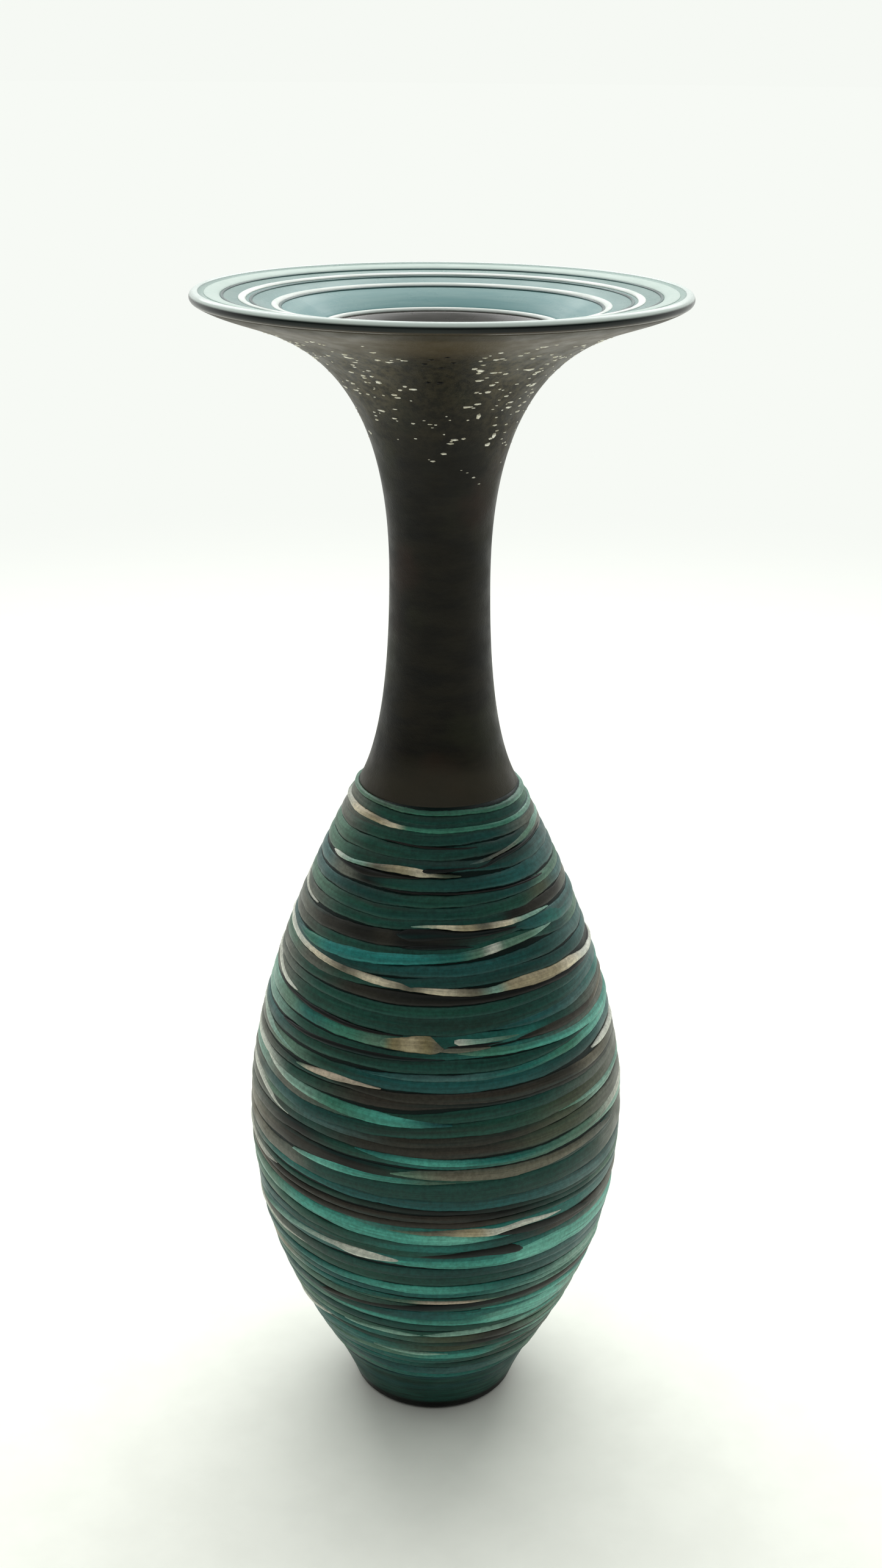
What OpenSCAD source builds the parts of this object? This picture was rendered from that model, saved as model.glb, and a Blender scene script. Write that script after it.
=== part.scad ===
// Hand blown art glass vase with a trailed body, a long neck and a wide lip.
// Z points up and the origin is the centre of the foot, on the table.

/* [Heights] */
// From the table up to the widest point of the body
belly_h = 88; // [76:1:106]
// From the widest point up to the colour line below the neck
shoulder_h = 91; // [76:1:110]
// From the colour line up to the narrowest point of the neck
neck_h = 54; // [44:1:66]
// From the narrowest point of the neck up to the top of the rim
flare_h = 68; // [57:1:82]
// Height of the plain foot below the trails
foot_h = 16.5; // [13:0.5:24]

/* [Diameters] */
// The part of the foot that touches the table
foot_d = 40; // [33:0.5:48]
// Widest point of the body, under the trails
belly_d = 98.6; // [82:0.2:119]
// Colour line between body and neck
joint_d = 40.4; // [36:0.2:48]
// Narrowest point of the neck
neck_d = 24.8; // [21:0.2:30]
// Outside of the rim
lip_d = 117.2; // [97:0.2:142]

/* [Walls] */
// Coloured skin of overlay glass
overlay_t = 1.2; // [0.8:0.1:1.6]
// Lining of the body
body_core_t = 3.4; // [2.6:0.1:4.4]
// Lining of the neck at its narrowest point
neck_core_t = 1.8; // [1.4:0.1:2.4]
// Lining in the bowl of the lip, where the glass gathered
bowl_core_t = 6; // [3:0.5:7]
// Lining of the lip at the rim
lip_core_t = 1.6; // [1.2:0.1:2]
// Glass under the middle of the hollow
base_t = 14; // [10:0.5:16]

/* [Curves] */
// Lean of the wall where it leaves the foot, from upright
foot_lean = 20; // [14:1:26]
// Lean of the wall at the colour line, from upright
joint_lean = 28; // [22:1:34]
// Rise of the lip at the rim, from level
lip_rise = 32; // [26:1:38]
// Rounding of the foot's lower edge
foot_edge_r = 2.5; // [1.5:0.1:4]

/* [Lip] */
// How far the pale lining reaches down from the rim
lip_depth = 14; // [12:0.5:20]
// Height of the white threads on the lip
ring_relief = 0.4; // [0.2:0.05:0.6]
// How far in from the rim the middle of the outer white thread lies
outer_ring_inset = 5.2; // [4.8:0.1:7]
// Width of the outer white thread
outer_ring_w = 3.6; // [2:0.1:4]
// How far in from the rim the middle of the second white thread lies
middle_ring_inset = 12.4; // [10:0.1:15]
// How far in from the rim the middle of the third white thread lies
inner_ring_inset = 19.8; // [17:0.1:23]
// Width of the second and third white threads
ring_w = 1.6; // [0.8:0.1:2.4]
// Width of the thread that covers the joint of lip and throat
throat_ring_w = 0.9; // [0.6:0.1:1.6]

/* [Trails] */
// How far the trails stand out of the body
trail_relief = 0.6; // [0.3:0.05:0.9]
// Bare groove between two trails
trail_groove = 0.35; // [0.2:0.05:0.6]

/* [Frit] */
// Number of white glass chips on the flare
chip_count = 56; // [20:1:80]
// Radius of the largest chip
chip_r = 1.1; // [0.6:0.1:1.6]
// How far the chips stand out of the flare
chip_relief = 0.25; // [0.15:0.05:0.4]

/* [Pontil] */
// Ground hollow under the foot, where the iron was broken off
pontil_d = 18; // [12:0.5:24]
// Depth of the ground hollow
pontil_depth = 1; // [0.5:0.1:1.6]

/* [Hidden] */
$fn = 96;

// Colours of the glass
deep_teal = [0.10, 0.24, 0.22];
teal = [0.16, 0.38, 0.36];
blue_teal = [0.14, 0.32, 0.35];
seafoam = [0.32, 0.60, 0.53];
brown = [0.22, 0.20, 0.18];
cream = [0.60, 0.56, 0.47];
gold = [0.55, 0.47, 0.32];
bronze = [0.20, 0.19, 0.17];
throat_grey = [0.26, 0.25, 0.24];
aqua = [0.62, 0.74, 0.74];
rim_dark = [0.07, 0.10, 0.10];
white = [0.92, 0.94, 0.92];

// Heights above the table
joint_z = belly_h + shoulder_h;
neck_z = joint_z + neck_h;
rim_z = neck_z + flare_h;

// Fullness of the outline: length of each curve's two handles, as a share of its stretch
foot_full = [0.30, 0.52];
shoulder_full = [0.20, 0.50];
neck_full = [0.19, 0.53];
flare_full = [0.91, 0.23];

// Steps along the body, the neck, the lip and a rounded edge
body_steps = 34;
neck_steps = 26;
lip_steps = 16;
edge_steps = 8;

// Trails from the foot up: share of the height, start angle, sweep, colour.
// Angles run anticlockwise from +X, so the front of the vase is at 270.
TRAILS = [
    [5.6, 0, 360, blue_teal],
    [5.1, 0, 360, teal],
    [2.4, 210, 125, seafoam],
    [2.9, 0, 360, deep_teal],
    [3.8, 0, 360, brown],
    [2.0, 235, 85, seafoam],
    [2.8, 0, 360, deep_teal],
    [2.4, 230, 140, seafoam],
    [3.2, 0, 360, blue_teal],
    [2.6, 225, 120, brown],
    [1.3, 240, 50, cream],
    [4.6, 0, 360, seafoam],
    [5.6, 0, 360, deep_teal],
    [3.4, 235, 190, seafoam],
    [2.3, 265, 60, brown],
    [3.3, 0, 360, teal],
    [4.0, 180, 120, seafoam],
    [3.9, 0, 360, brown],
    [4.5, 0, 360, blue_teal],
    [3.6, 0, 360, deep_teal],
    [2.0, 225, 45, seafoam],
    [2.0, 256, 80, cream],
    [3.0, 0, 360, teal],
    [4.4, 0, 360, brown],
    [3.0, 0, 360, deep_teal],
    [3.5, 195, 80, seafoam],
    [4.4, 0, 360, brown],
    [2.0, 215, 50, cream],
    [3.4, 0, 360, blue_teal],
    [3.1, 0, 360, deep_teal],
    [2.0, 280, 130, seafoam],
    [3.4, 252, 24, gold],
    [6.2, 0, 360, deep_teal],
    [2.4, 0, 360, brown],
    [2.8, 175, 200, cream],
    [4.4, 0, 360, blue_teal],
    [3.8, 205, 120, teal],
    [3.7, 200, 110, brown],
    [1.7, 260, 70, cream],
    [4.6, 0, 360, deep_teal],
    [4.8, 0, 360, blue_teal],
    [2.6, 200, 85, gold],
    [6.9, 0, 360, deep_teal],
    [2.2, 0, 360, cream],
    [2.9, 0, 360, teal],
];
trail_shares = [for (row = TRAILS) row[0]];

// Rounded rim: centre of its half circle, and its radius
rim_r = (overlay_t + lip_core_t) / 2;
rim_centre = [lip_d / 2 - rim_r, rim_z - rim_r];
rim_out = [sin(lip_rise), -cos(lip_rise)];

// Start of the wall, where the rounded edge of the foot ends
foot_out = [cos(foot_lean), -sin(foot_lean)];
foot_edge_centre = [foot_d / 2, foot_edge_r];

// The outline as four curves: foot to belly, to the colour line, to the neck, to the rim
foot_point = foot_edge_centre + foot_edge_r * foot_out;
belly_point = [belly_d / 2, belly_h];
joint_point = [joint_d / 2, joint_z];
neck_point = [neck_d / 2, neck_z];
rim_point = rim_centre + rim_r * rim_out;
foot_way = [sin(foot_lean), cos(foot_lean)];
joint_way = [-sin(joint_lean), cos(joint_lean)];
rim_way = [cos(lip_rise), sin(lip_rise)];
up = [0, 1];
CURVES = [
    curve(foot_point, foot_way, belly_point, up, foot_full * belly_h),
    curve(belly_point, up, joint_point, joint_way, shoulder_full * shoulder_h),
    curve(joint_point, joint_way, neck_point, up, neck_full * neck_h),
    curve(neck_point, up, rim_point, rim_way, [flare_full[0] * flare_h, flare_full[1] * lip_d / 2]),
];

// A cubic curve from its ends, its directions there and the lengths of its handles
function curve(a, a_way, b, b_way, handles) =
    [a, a + handles[0] * a_way, b - handles[1] * b_way, b];

function curve_point(c, t) =
    pow(1 - t, 3) * c[0] + 3 * t * pow(1 - t, 2) * c[1]
    + 3 * t * t * (1 - t) * c[2] + pow(t, 3) * c[3];

function curve_way(c, t) =
    pow(1 - t, 2) * (c[1] - c[0]) + 2 * t * (1 - t) * (c[2] - c[1]) + t * t * (c[3] - c[2]);

function right_of(way) = [way[1], -way[0]] / norm(way);

// A station s runs 0 at the foot, 1 at the belly, 2 at the colour line, 3 at the neck, 4 at the rim
function stretch(s) = min(floor(s), len(CURVES) - 1);
function skin(s) = curve_point(CURVES[stretch(s)], s - stretch(s));
function outward(s) = right_of(curve_way(CURVES[stretch(s)], s - stretch(s)));
function core_t(s) =
    lookup(s, [[0, body_core_t], [1, body_core_t], [3, neck_core_t], [3.5, bowl_core_t],
               [4, lip_core_t]]);

// Outside of the overlay lifted by some relief, the face between overlay and lining, the inside
function lifted(s, relief) = skin(s) + relief * outward(s);
function seam(s) = lifted(s, -overlay_t);
function bore(s) = lifted(s, -overlay_t - core_t(s));

// The station between lo and hi at which the outside reaches the height z
function station_at(z, lo, hi, tries = 24) =
    let (middle = (lo + hi) / 2)
    tries == 0 ? middle
    : skin(middle)[1] < z ? station_at(z, middle, hi, tries - 1)
    : station_at(z, lo, middle, tries - 1);

function span(a, b, steps) = [for (k = [0 : steps]) a + (b - a) * k / steps];
function reversed(list) = [for (k = [len(list) - 1 : -1 : 0]) list[k]];
function sum_to(list, n) = n == 0 ? 0 : list[n - 1] + sum_to(list, n - 1);

foot_s = station_at(foot_h, 0, 1);
throat_s = station_at(rim_z - lip_depth, 3, 4);
body_stations = span(foot_s, 2, body_steps);
neck_stations = span(2, throat_s, neck_steps);
lip_stations = span(throat_s, 4, lip_steps);
upper_stations = concat(neck_stations, [for (k = [1 : lip_steps]) lip_stations[k]]);

body_skin = [for (s = body_stations) skin(s)];
lip_bore = [for (s = lip_stations) bore(s)];
throat_bore = [for (k = [neck_steps - 3 : neck_steps]) bore(neck_stations[k])];
throat_line = concat(throat_bore, [for (k = [1 : 3]) lip_bore[k]]);

// A broken line read by its running number, which may fall between two of its points
function along(line, u) =
    [for (axis = [0, 1]) lookup(u, [for (k = [0 : len(line) - 1]) [k, line[k][axis]]])];
function number_at(line, axis, value) =
    lookup(value, [for (k = [0 : len(line) - 1]) [line[k][axis], k]]);

// Outline of a thread that lies on a line between two running numbers and bulges to one side
function thread_outline(line, from, to, relief, side) =
    let (
        steps = 6,
        start = along(line, from),
        end = along(line, to),
        out = side * right_of(end - start),
        under = [for (k = [ceil(from) : floor(to)]) if (k > from && k < to) line[k]],
        over = [
            for (k = [1 : steps - 1])
                along(line, from + (to - from) * k / steps) + out * relief * sin(180 * k / steps)
        ]
    )
    concat([start], under, [end], reversed(over));

// Heights of the trails, stacked from the foot to the colour line in their shares
trail_zone = joint_z - foot_h - trail_groove * (len(TRAILS) + 1);
function trail_low(n) =
    foot_h + trail_groove * (n + 1)
    + trail_zone * sum_to(trail_shares, n) / sum_to(trail_shares, len(TRAILS));
function trail_high(n) = trail_low(n + 1) - trail_groove;

function trail_name(n) = str("trail_", n < 9 ? "0" : "", n + 1);

// A layer of glass between two lines, given as points from bottom to top
module layer(outside, inside) {
    rotate_extrude() polygon(concat(outside, reversed(inside)));
}

module foot() {
    pontil = [
        for (k = [0 : edge_steps])
            [pontil_d / 2 * sin(90 * k / edge_steps), pontil_depth * cos(90 * k / edge_steps)]
    ];
    edge = [
        for (k = [0 : edge_steps])
            let (turn = -90 + (90 - foot_lean) * k / edge_steps)
            foot_edge_centre + foot_edge_r * [cos(turn), sin(turn)]
    ];
    wall = [for (k = [1 : edge_steps]) skin(foot_s * k / edge_steps)];
    hollow_r = bore(foot_s)[0];
    hollow_rise = bore(foot_s)[1] - base_t;
    hollow = [
        for (k = [0 : edge_steps])
            let (turn = 90 * k / edge_steps)
            [k == edge_steps ? 0 : hollow_r * cos(turn), base_t + hollow_rise * (1 - sin(turn))]
    ];
    color(deep_teal)
    rotate_extrude() polygon(concat(pontil, edge, wall, [seam(foot_s)], hollow));
}

module body_core() {
    color(throat_grey)
    layer([for (s = body_stations) seam(s)], [for (s = body_stations) bore(s)]);
}

module body_overlay() {
    color(deep_teal)
    layer(body_skin, [for (s = body_stations) seam(s)]);
}

module neck_core() {
    color(throat_grey)
    layer([for (s = neck_stations) seam(s)], [for (s = neck_stations) bore(s)]);
}

module neck_overlay() {
    color(bronze)
    layer([for (s = upper_stations) skin(s)], [for (s = upper_stations) seam(s)]);
}

module lip_core() {
    color(aqua)
    layer([for (s = lip_stations) seam(s)], lip_bore);
}

module lip_wrap() {
    half_circle = [
        for (k = [0 : 2 * edge_steps])
            let (turn = lip_rise - 90 + 90 * k / edge_steps)
            rim_centre + rim_r * [cos(turn), sin(turn)]
    ];
    color(rim_dark)
    rotate_extrude() polygon(half_circle);
}

// A white thread on the upper face of the lip, its middle some way in from the rim
module lip_ring(inset, width) {
    radius = lip_d / 2 - inset;
    from = number_at(lip_bore, 0, radius - width / 2);
    to = number_at(lip_bore, 0, radius + width / 2);
    color(white)
    rotate_extrude() polygon(thread_outline(lip_bore, from, to, ring_relief, -1));
}

// The thread over the joint of lip and throat
module throat_ring() {
    radius = lip_bore[0][0];
    from = number_at(throat_line, 0, radius - throat_ring_w / 2);
    to = number_at(throat_line, 0, radius + throat_ring_w / 2);
    color(white)
    rotate_extrude() polygon(thread_outline(throat_line, from, to, ring_relief, -1));
}

// One trail of glass wound on the body
module trail(n) {
    from = number_at(body_skin, 1, trail_low(n));
    to = number_at(body_skin, 1, trail_high(n));
    color(TRAILS[n][3])
    rotate([0, 0, TRAILS[n][1]])
    rotate_extrude(angle = TRAILS[n][2])
    polygon(thread_outline(body_skin, from, to, trail_relief, 1));
}

// Chips of white glass rolled onto the flare, closer together towards the rim
module frit_chips() {
    flare_stations = [for (s = upper_stations) if (s > 3.2) s];
    color(white)
    intersection() {
        layer(
            [for (s = flare_stations) lifted(s, chip_relief)],
            [for (s = flare_stations) skin(s)]
        );
        for (k = [1 : chip_count]) {
            s = 3.3 + 0.55 * sqrt(k / chip_count);
            lean = atan2(outward(s)[0], outward(s)[1]);
            size = chip_r * (0.45 + 0.55 * (k * 7 % 11) / 10);
            rotate([0, 0, 137.5 * k])
            translate([skin(s)[0], 0, skin(s)[1]])
            rotate([0, lean, 0])
            cylinder(h = 6 * chip_relief, r = size, center = true, $fn = 24);
        }
    }
}

foot();
body_core();
body_overlay();
neck_core();
neck_overlay();
lip_core();
lip_wrap();
lip_ring(outer_ring_inset, outer_ring_w);  // lip_ring_outer
lip_ring(middle_ring_inset, ring_w);  // lip_ring_middle
lip_ring(inner_ring_inset, ring_w);  // lip_ring_inner
throat_ring();
frit_chips();
for (n = [0 : len(TRAILS) - 1]) {
    trail(n);
}
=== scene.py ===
# %% [markdown]
# # A blown glass vase, wound with trails
# This lesson dresses a plain CAD vase in Blender. The CAD model holds the sizes. Here every skin, thread and chip of
# glass is made again as a fine mesh with its own finish. The first cell loads the CAD model as a fixed frame.

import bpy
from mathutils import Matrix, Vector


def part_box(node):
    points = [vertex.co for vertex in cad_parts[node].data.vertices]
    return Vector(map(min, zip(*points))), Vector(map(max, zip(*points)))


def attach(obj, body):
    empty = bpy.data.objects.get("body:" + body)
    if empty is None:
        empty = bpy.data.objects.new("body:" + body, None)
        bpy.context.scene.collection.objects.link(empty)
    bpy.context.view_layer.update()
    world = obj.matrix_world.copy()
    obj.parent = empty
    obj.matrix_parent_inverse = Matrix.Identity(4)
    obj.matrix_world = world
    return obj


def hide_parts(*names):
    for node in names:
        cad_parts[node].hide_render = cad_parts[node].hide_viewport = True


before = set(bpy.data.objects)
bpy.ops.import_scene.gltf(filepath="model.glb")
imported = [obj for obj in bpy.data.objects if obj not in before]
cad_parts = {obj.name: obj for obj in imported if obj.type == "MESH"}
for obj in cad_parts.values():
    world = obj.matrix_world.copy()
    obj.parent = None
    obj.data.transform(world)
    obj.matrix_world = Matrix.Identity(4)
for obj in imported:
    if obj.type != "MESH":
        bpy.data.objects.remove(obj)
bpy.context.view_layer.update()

# %% Tools used below
import math
import random
from collections import namedtuple

import bmesh
import bpy
from mathutils import Euler, Matrix, Vector, geometry, noise

MM = 0.001
ROOT = "root"

# %% [markdown]
# ## The outline
# The vase is turned round one axis, so a single line gives its whole shape: four smooth curves from the foot to the
# belly, to the colour line, to the neck and to the rim. Heights and widths come from the CAD boxes, and the curves
# have the same lean and fullness as the CAD ones. A Bezier curve needs only its ends and two handles.

# %% Draw the outline
RIM_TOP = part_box("lip_wrap")[1].z
RIM_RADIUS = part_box("lip_wrap")[1].x
WALL_AT_RIM = 2.8 * MM
SKIN_T = 1.2 * MM
LIP_RISE = math.radians(32)
FOOT_LEAN = math.radians(20)
JOINT_LEAN = math.radians(28)
FOOT_EDGE = 2.5 * MM
FOOT_RADIUS = 20 * MM

belly = Vector((49.3 * MM, 88 * MM))
joint = Vector((20.2 * MM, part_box("body_overlay")[1].z))
neck = Vector((12.4 * MM, 233 * MM))
rim_middle = Vector((RIM_RADIUS - WALL_AT_RIM / 2, RIM_TOP - WALL_AT_RIM / 2))
rim = rim_middle + WALL_AT_RIM / 2 * Vector((math.sin(LIP_RISE), -math.cos(LIP_RISE)))
foot_edge = Vector((FOOT_RADIUS, FOOT_EDGE))
foot = foot_edge + FOOT_EDGE * Vector((math.cos(FOOT_LEAN), -math.sin(FOOT_LEAN)))
UP = Vector((0, 1))


def curve(start, start_way, end, end_way, handles, steps):
    """Points of one smooth stretch, given as (radius, height)."""
    first, last = start + handles[0] * start_way, end - handles[1] * end_way
    return [p.to_2d() for p in geometry.interpolate_bezier(start, first, last, end, steps + 1)]


foot_way = Vector((math.sin(FOOT_LEAN), math.cos(FOOT_LEAN)))
joint_way = Vector((-math.sin(JOINT_LEAN), math.cos(JOINT_LEAN)))
rim_way = Vector((math.cos(LIP_RISE), math.sin(LIP_RISE)))
shoulder_h, neck_h, flare_h = joint.y - belly.y, neck.y - joint.y, RIM_TOP - neck.y
BODY_STEPS, NECK_STEPS = 80, 60
lower = curve(foot, foot_way, belly, UP, (0.30 * belly.y, 0.52 * belly.y), BODY_STEPS)
shoulder = curve(belly, UP, joint, joint_way, (0.20 * shoulder_h, 0.50 * shoulder_h), BODY_STEPS)
throat = curve(joint, joint_way, neck, UP, (0.19 * neck_h, 0.53 * neck_h), NECK_STEPS)
flare = curve(neck, UP, rim, rim_way, (0.91 * flare_h, 0.23 * RIM_RADIUS), NECK_STEPS)
outline = lower + shoulder[1:] + throat[1:] + flare[1:]
print("outline", len(outline), "points, belly", round(belly.x * 2000, 1), "mm across")

# %% [markdown]
# Layers of glass lie under the outline at some depth. Each point moves square to the line, so that the wall keeps its
# thickness where the shape turns. The depth of the lining changes from the thick foot to the thin lip.

# %% Find a layer at a depth


def outward(line, k):
    """The direction square to a line at its point k, away from the glass."""
    way = (line[min(k + 1, len(line) - 1)] - line[max(k - 1, 0)]).normalized()
    return Vector((way.y, -way.x))


NORMALS = [outward(outline, k) for k in range(len(outline))]
BELLY_AT, JOINT_AT = BODY_STEPS, 2 * BODY_STEPS
NECK_AT, RIM_AT = JOINT_AT + NECK_STEPS, JOINT_AT + 2 * NECK_STEPS


def between(value, stops):
    """Reads a value off a list of (place, value) stops, straight from one to the next."""
    if value <= stops[0][0]:
        return stops[0][1]
    for (a, from_value), (b, to_value) in zip(stops, stops[1:]):
        if value <= b:
            return from_value + (to_value - from_value) * (value - a) / (b - a)
    return stops[-1][1]


BOWL_AT = NECK_AT + NECK_STEPS // 2
LINING = [(BELLY_AT, 3.4 * MM), (NECK_AT, 1.8 * MM), (BOWL_AT, 6.0 * MM), (RIM_AT, 1.6 * MM)]


def skin(k):
    return outline[k]


def seam(k):
    return outline[k] - SKIN_T * NORMALS[k]


def bore(k):
    return outline[k] - (SKIN_T + between(k, LINING)) * NORMALS[k]


def index_at(height):
    """The outline point nearest to a height on the outside."""
    return min(range(len(outline)), key=lambda k: abs(outline[k].y - height))


FOOT_TOP = index_at(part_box("body_overlay")[0].z)
THROAT_AT = index_at(RIM_TOP - 14 * MM)
print("foot joint at", round(outline[FOOT_TOP].y, 4), "lip lining from", round(outline[THROAT_AT].y, 4))

# %% [markdown]
# ## Turning a line into glass
# A closed section is spun once round the axis with bmesh's spin, as a lathe would. The seam of the turn and the points
# that lie on the axis are merged, and only then are the normals worked out.

# %% Spin and finish
WEDGES, WEDGE_STEPS = 16, 15


def spin_section(bm, section):
    """Turns a closed section, given as (radius, height) points, once round the axis: a wedge first, then its copies."""
    verts = [bm.verts.new((p[0], 0, p[1])) for p in section]
    edges = [bm.edges.new(pair) for pair in zip(verts, verts[1:] + verts[:1])]
    wedge = math.tau / WEDGES
    bmesh.ops.spin(bm, geom=verts + edges, cent=(0, 0, 0), axis=(0, 0, 1), angle=wedge, steps=WEDGE_STEPS)
    bmesh.ops.spin(bm, geom=bm.verts[:] + bm.edges[:] + bm.faces[:], cent=(0, 0, 0), axis=(0, 0, 1),
                   angle=math.tau - wedge, steps=WEDGES - 1, use_duplicate=True)
    bmesh.ops.remove_doubles(bm, verts=bm.verts, dist=0.01 * MM)


def finish_piece(bm, name, material, nodes):
    """Makes the piece, smooth and with its faces outwards, hangs it on the root and hides the CAD nodes it replaces."""
    bmesh.ops.recalc_face_normals(bm, faces=bm.faces)
    for face in bm.faces:
        face.smooth = True
    mesh = bpy.data.meshes.new(name)
    bm.to_mesh(mesh)
    bm.free()
    mesh.materials.append(material)
    piece = bpy.data.objects.new(name, mesh)
    bpy.context.scene.collection.objects.link(piece)
    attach(piece, ROOT)
    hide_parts(*nodes)
    print(name, len(mesh.polygons), "faces")
    return piece


# %% [markdown]
# ## Nodes for the finishes
# Every finish is built from a few nodes, so one small helper adds a node, sets it and links it. Colours are given the
# way an eye reads them on a screen, from 0 to 255, and turned into light values.

# %% Node helpers


def put(tree, kind, inputs=None, **settings):
    """Adds a node. Settings are its own, and inputs are plain values or other nodes' outputs."""
    made = tree.nodes.new(kind)
    for name, value in settings.items():
        setattr(made, name, value)
    for name, value in (inputs or {}).items():
        if isinstance(value, bpy.types.NodeSocket):
            tree.links.new(value, made.inputs[name])
        else:
            made.inputs[name].default_value = value
    return made


def screen(red, green, blue):
    """A colour as the eye reads it, 0 to 255, as light values."""
    parts = [v / 255 for v in (red, green, blue)]
    return tuple(v / 12.92 if v <= 0.04045 else ((v + 0.055) / 1.055) ** 2.4 for v in parts) + (1,)


def maths(tree, operation, a, b=0.0):
    return put(tree, "ShaderNodeMath", {0: a, 1: b}, operation=operation).outputs[0]


def mixed(tree, factor, a, b, way="MIX"):
    """Colour a with colour b laid over it by a factor."""
    made = put(tree, "ShaderNodeMix", {0: factor, 6: a, 7: b}, data_type="RGBA", blend_type=way)
    return made.outputs[2]


def ranged(tree, value, low, high, to_low=0.0, to_high=1.0):
    """Maps a value from one range to another with soft ends."""
    inputs = {0: value, 1: low, 2: high, 3: to_low, 4: to_high}
    return put(tree, "ShaderNodeMapRange", inputs, interpolation_type="SMOOTHSTEP").outputs[0]


def noisy(tree, vector, scale, detail=3.0, roughness=0.55):
    inputs = {"Vector": vector, "Scale": scale, "Detail": detail, "Roughness": roughness}
    return put(tree, "ShaderNodeTexNoise", inputs).outputs["Fac"]


def new_group(name, inputs, outputs):
    """An empty shader group with named sockets. Returns the tree, its entry and its exit."""
    tree = bpy.data.node_groups.new(name, "ShaderNodeTree")
    for label, kind in inputs:
        tree.interface.new_socket(label, in_out="INPUT", socket_type=kind)
    for label, kind in outputs:
        tree.interface.new_socket(label, in_out="OUTPUT", socket_type=kind)
    return tree, tree.nodes.new("NodeGroupInput"), tree.nodes.new("NodeGroupOutput")


FLOAT, VECTOR, COLOUR = "NodeSocketFloat", "NodeSocketVector", "NodeSocketColor"

# %% [markdown]
# ## Two effects that every glass shares
# Hot glass is pulled round the vase, so its colour runs in long streaks. "Drawn streaks" stretches noise that way and
# gives a fine streak and a slow drift. "Satin skin" is the silky surface: slow changes of gloss and a very fine grain.

# %% Build the shared groups
streak_tree, enter, leave = new_group(
    "Drawn streaks",
    [("Vector", VECTOR), ("Along", FLOAT), ("Across", FLOAT)],
    [("Streak", FLOAT), ("Drift", FLOAT)],
)
stretch = put(streak_tree, "ShaderNodeCombineXYZ", {
    "X": enter.outputs["Along"], "Y": enter.outputs["Along"], "Z": enter.outputs["Across"]})
pulled = put(streak_tree, "ShaderNodeVectorMath",
             {0: enter.outputs["Vector"], 1: stretch.outputs[0]}, operation="MULTIPLY").outputs[0]
streak_tree.links.new(noisy(streak_tree, pulled, 1.0, 5.0, 0.6), leave.inputs["Streak"])
streak_tree.links.new(noisy(streak_tree, pulled, 0.23, 2.0, 0.5), leave.inputs["Drift"])

satin_tree, enter, leave = new_group(
    "Satin skin",
    [("Vector", VECTOR), ("Scale", FLOAT)],
    [("Gloss", FLOAT), ("Grain", FLOAT)],
)
fine = maths(satin_tree, "MULTIPLY", enter.outputs["Scale"], 14.0)
satin_tree.links.new(noisy(satin_tree, enter.outputs["Vector"], enter.outputs["Scale"], 4.0),
                     leave.inputs["Gloss"])
satin_tree.links.new(noisy(satin_tree, enter.outputs["Vector"], fine, 2.0), leave.inputs["Grain"])


def use_group(tree, group, inputs):
    made = put(tree, "ShaderNodeGroup", node_tree=group)
    for name, value in inputs.items():
        if isinstance(value, bpy.types.NodeSocket):
            tree.links.new(value, made.inputs[name])
        else:
            made.inputs[name].default_value = value
    return made


def new_finish(name):
    """An empty material. Returns it, its node tree and the place coordinates."""
    material = bpy.data.materials.new(name)
    material.use_nodes = True
    tree = material.node_tree
    tree.nodes.clear()
    place = put(tree, "ShaderNodeTexCoord").outputs["Object"]
    return material, tree, place


def close_finish(tree, colour, rough, height, depth, **shader):
    """Ends a material: the Principled BSDF with colour, roughness and bump from the nodes."""
    bump = put(tree, "ShaderNodeBump", {"Height": height, "Distance": depth, "Strength": 1.0})
    inputs = {"Base Color": colour, "Roughness": rough, "Normal": bump.outputs[0]}
    inputs.update({name.replace("_", " "): value for name, value in shader.items()})
    glass = put(tree, "ShaderNodeBsdfPrincipled", inputs)
    out = put(tree, "ShaderNodeOutputMaterial")
    tree.links.new(glass.outputs[0], out.inputs["Surface"])


print("groups", streak_tree.name, "and", satin_tree.name)

# %% [markdown]
# ## Glass for the trails
# All trails share one satin glass. What differs is painted on each mesh: "tint" is the colour at that point, "flow" is
# a coordinate that follows the thread, and "crown" is 1 on its back and 0 in the groove beside it. The streaks run
# along the flow. The groove is darker partly because the dark skin shows through the thin edge, and partly as painted
# shade in the crease between threads.

# %% Trail finish
trail_glass, tree, place = new_finish("trailed satin glass")
tint = put(tree, "ShaderNodeAttribute", attribute_name="tint").outputs["Color"]
flow = put(tree, "ShaderNodeAttribute", attribute_name="flow").outputs["Vector"]
crown = put(tree, "ShaderNodeAttribute", attribute_name="crown").outputs["Fac"]
pulls = use_group(tree, streak_tree, {"Vector": flow, "Along": 55.0, "Across": 1700.0})
satin = use_group(tree, satin_tree, {"Vector": place, "Scale": 160.0})
shade = ranged(tree, pulls.outputs["Streak"], 0.32, 0.68, 0.8, 1.2)
mottle = ranged(tree, noisy(tree, place, 900.0, 4.0, 0.7), 0.3, 0.7, 0.78, 1.22)
shade = maths(tree, "MULTIPLY", shade, mottle)
shaded = mixed(tree, 1.0, tint, put(tree, "ShaderNodeCombineColor", {0: shade, 1: shade, 2: shade}).outputs[0],
               "MULTIPLY")
cooler = mixed(tree, ranged(tree, pulls.outputs["Drift"], 0.5, 0.72, 0.0, 0.3), shaded, screen(26, 72, 70))
smoked = mixed(tree, ranged(tree, pulls.outputs["Drift"], 0.5, 0.3, 0.0, 0.35), cooler, screen(44, 40, 34))
# Painted shade in part: towards the groove the colour goes nearly black, for the skin showing through and for the shade
# in the crease.
skin_and_groove_shade = mixed(tree, ranged(tree, crown, 0.45, 0.0, 0.0, 0.8), smoked, screen(10, 18, 17))
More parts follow.
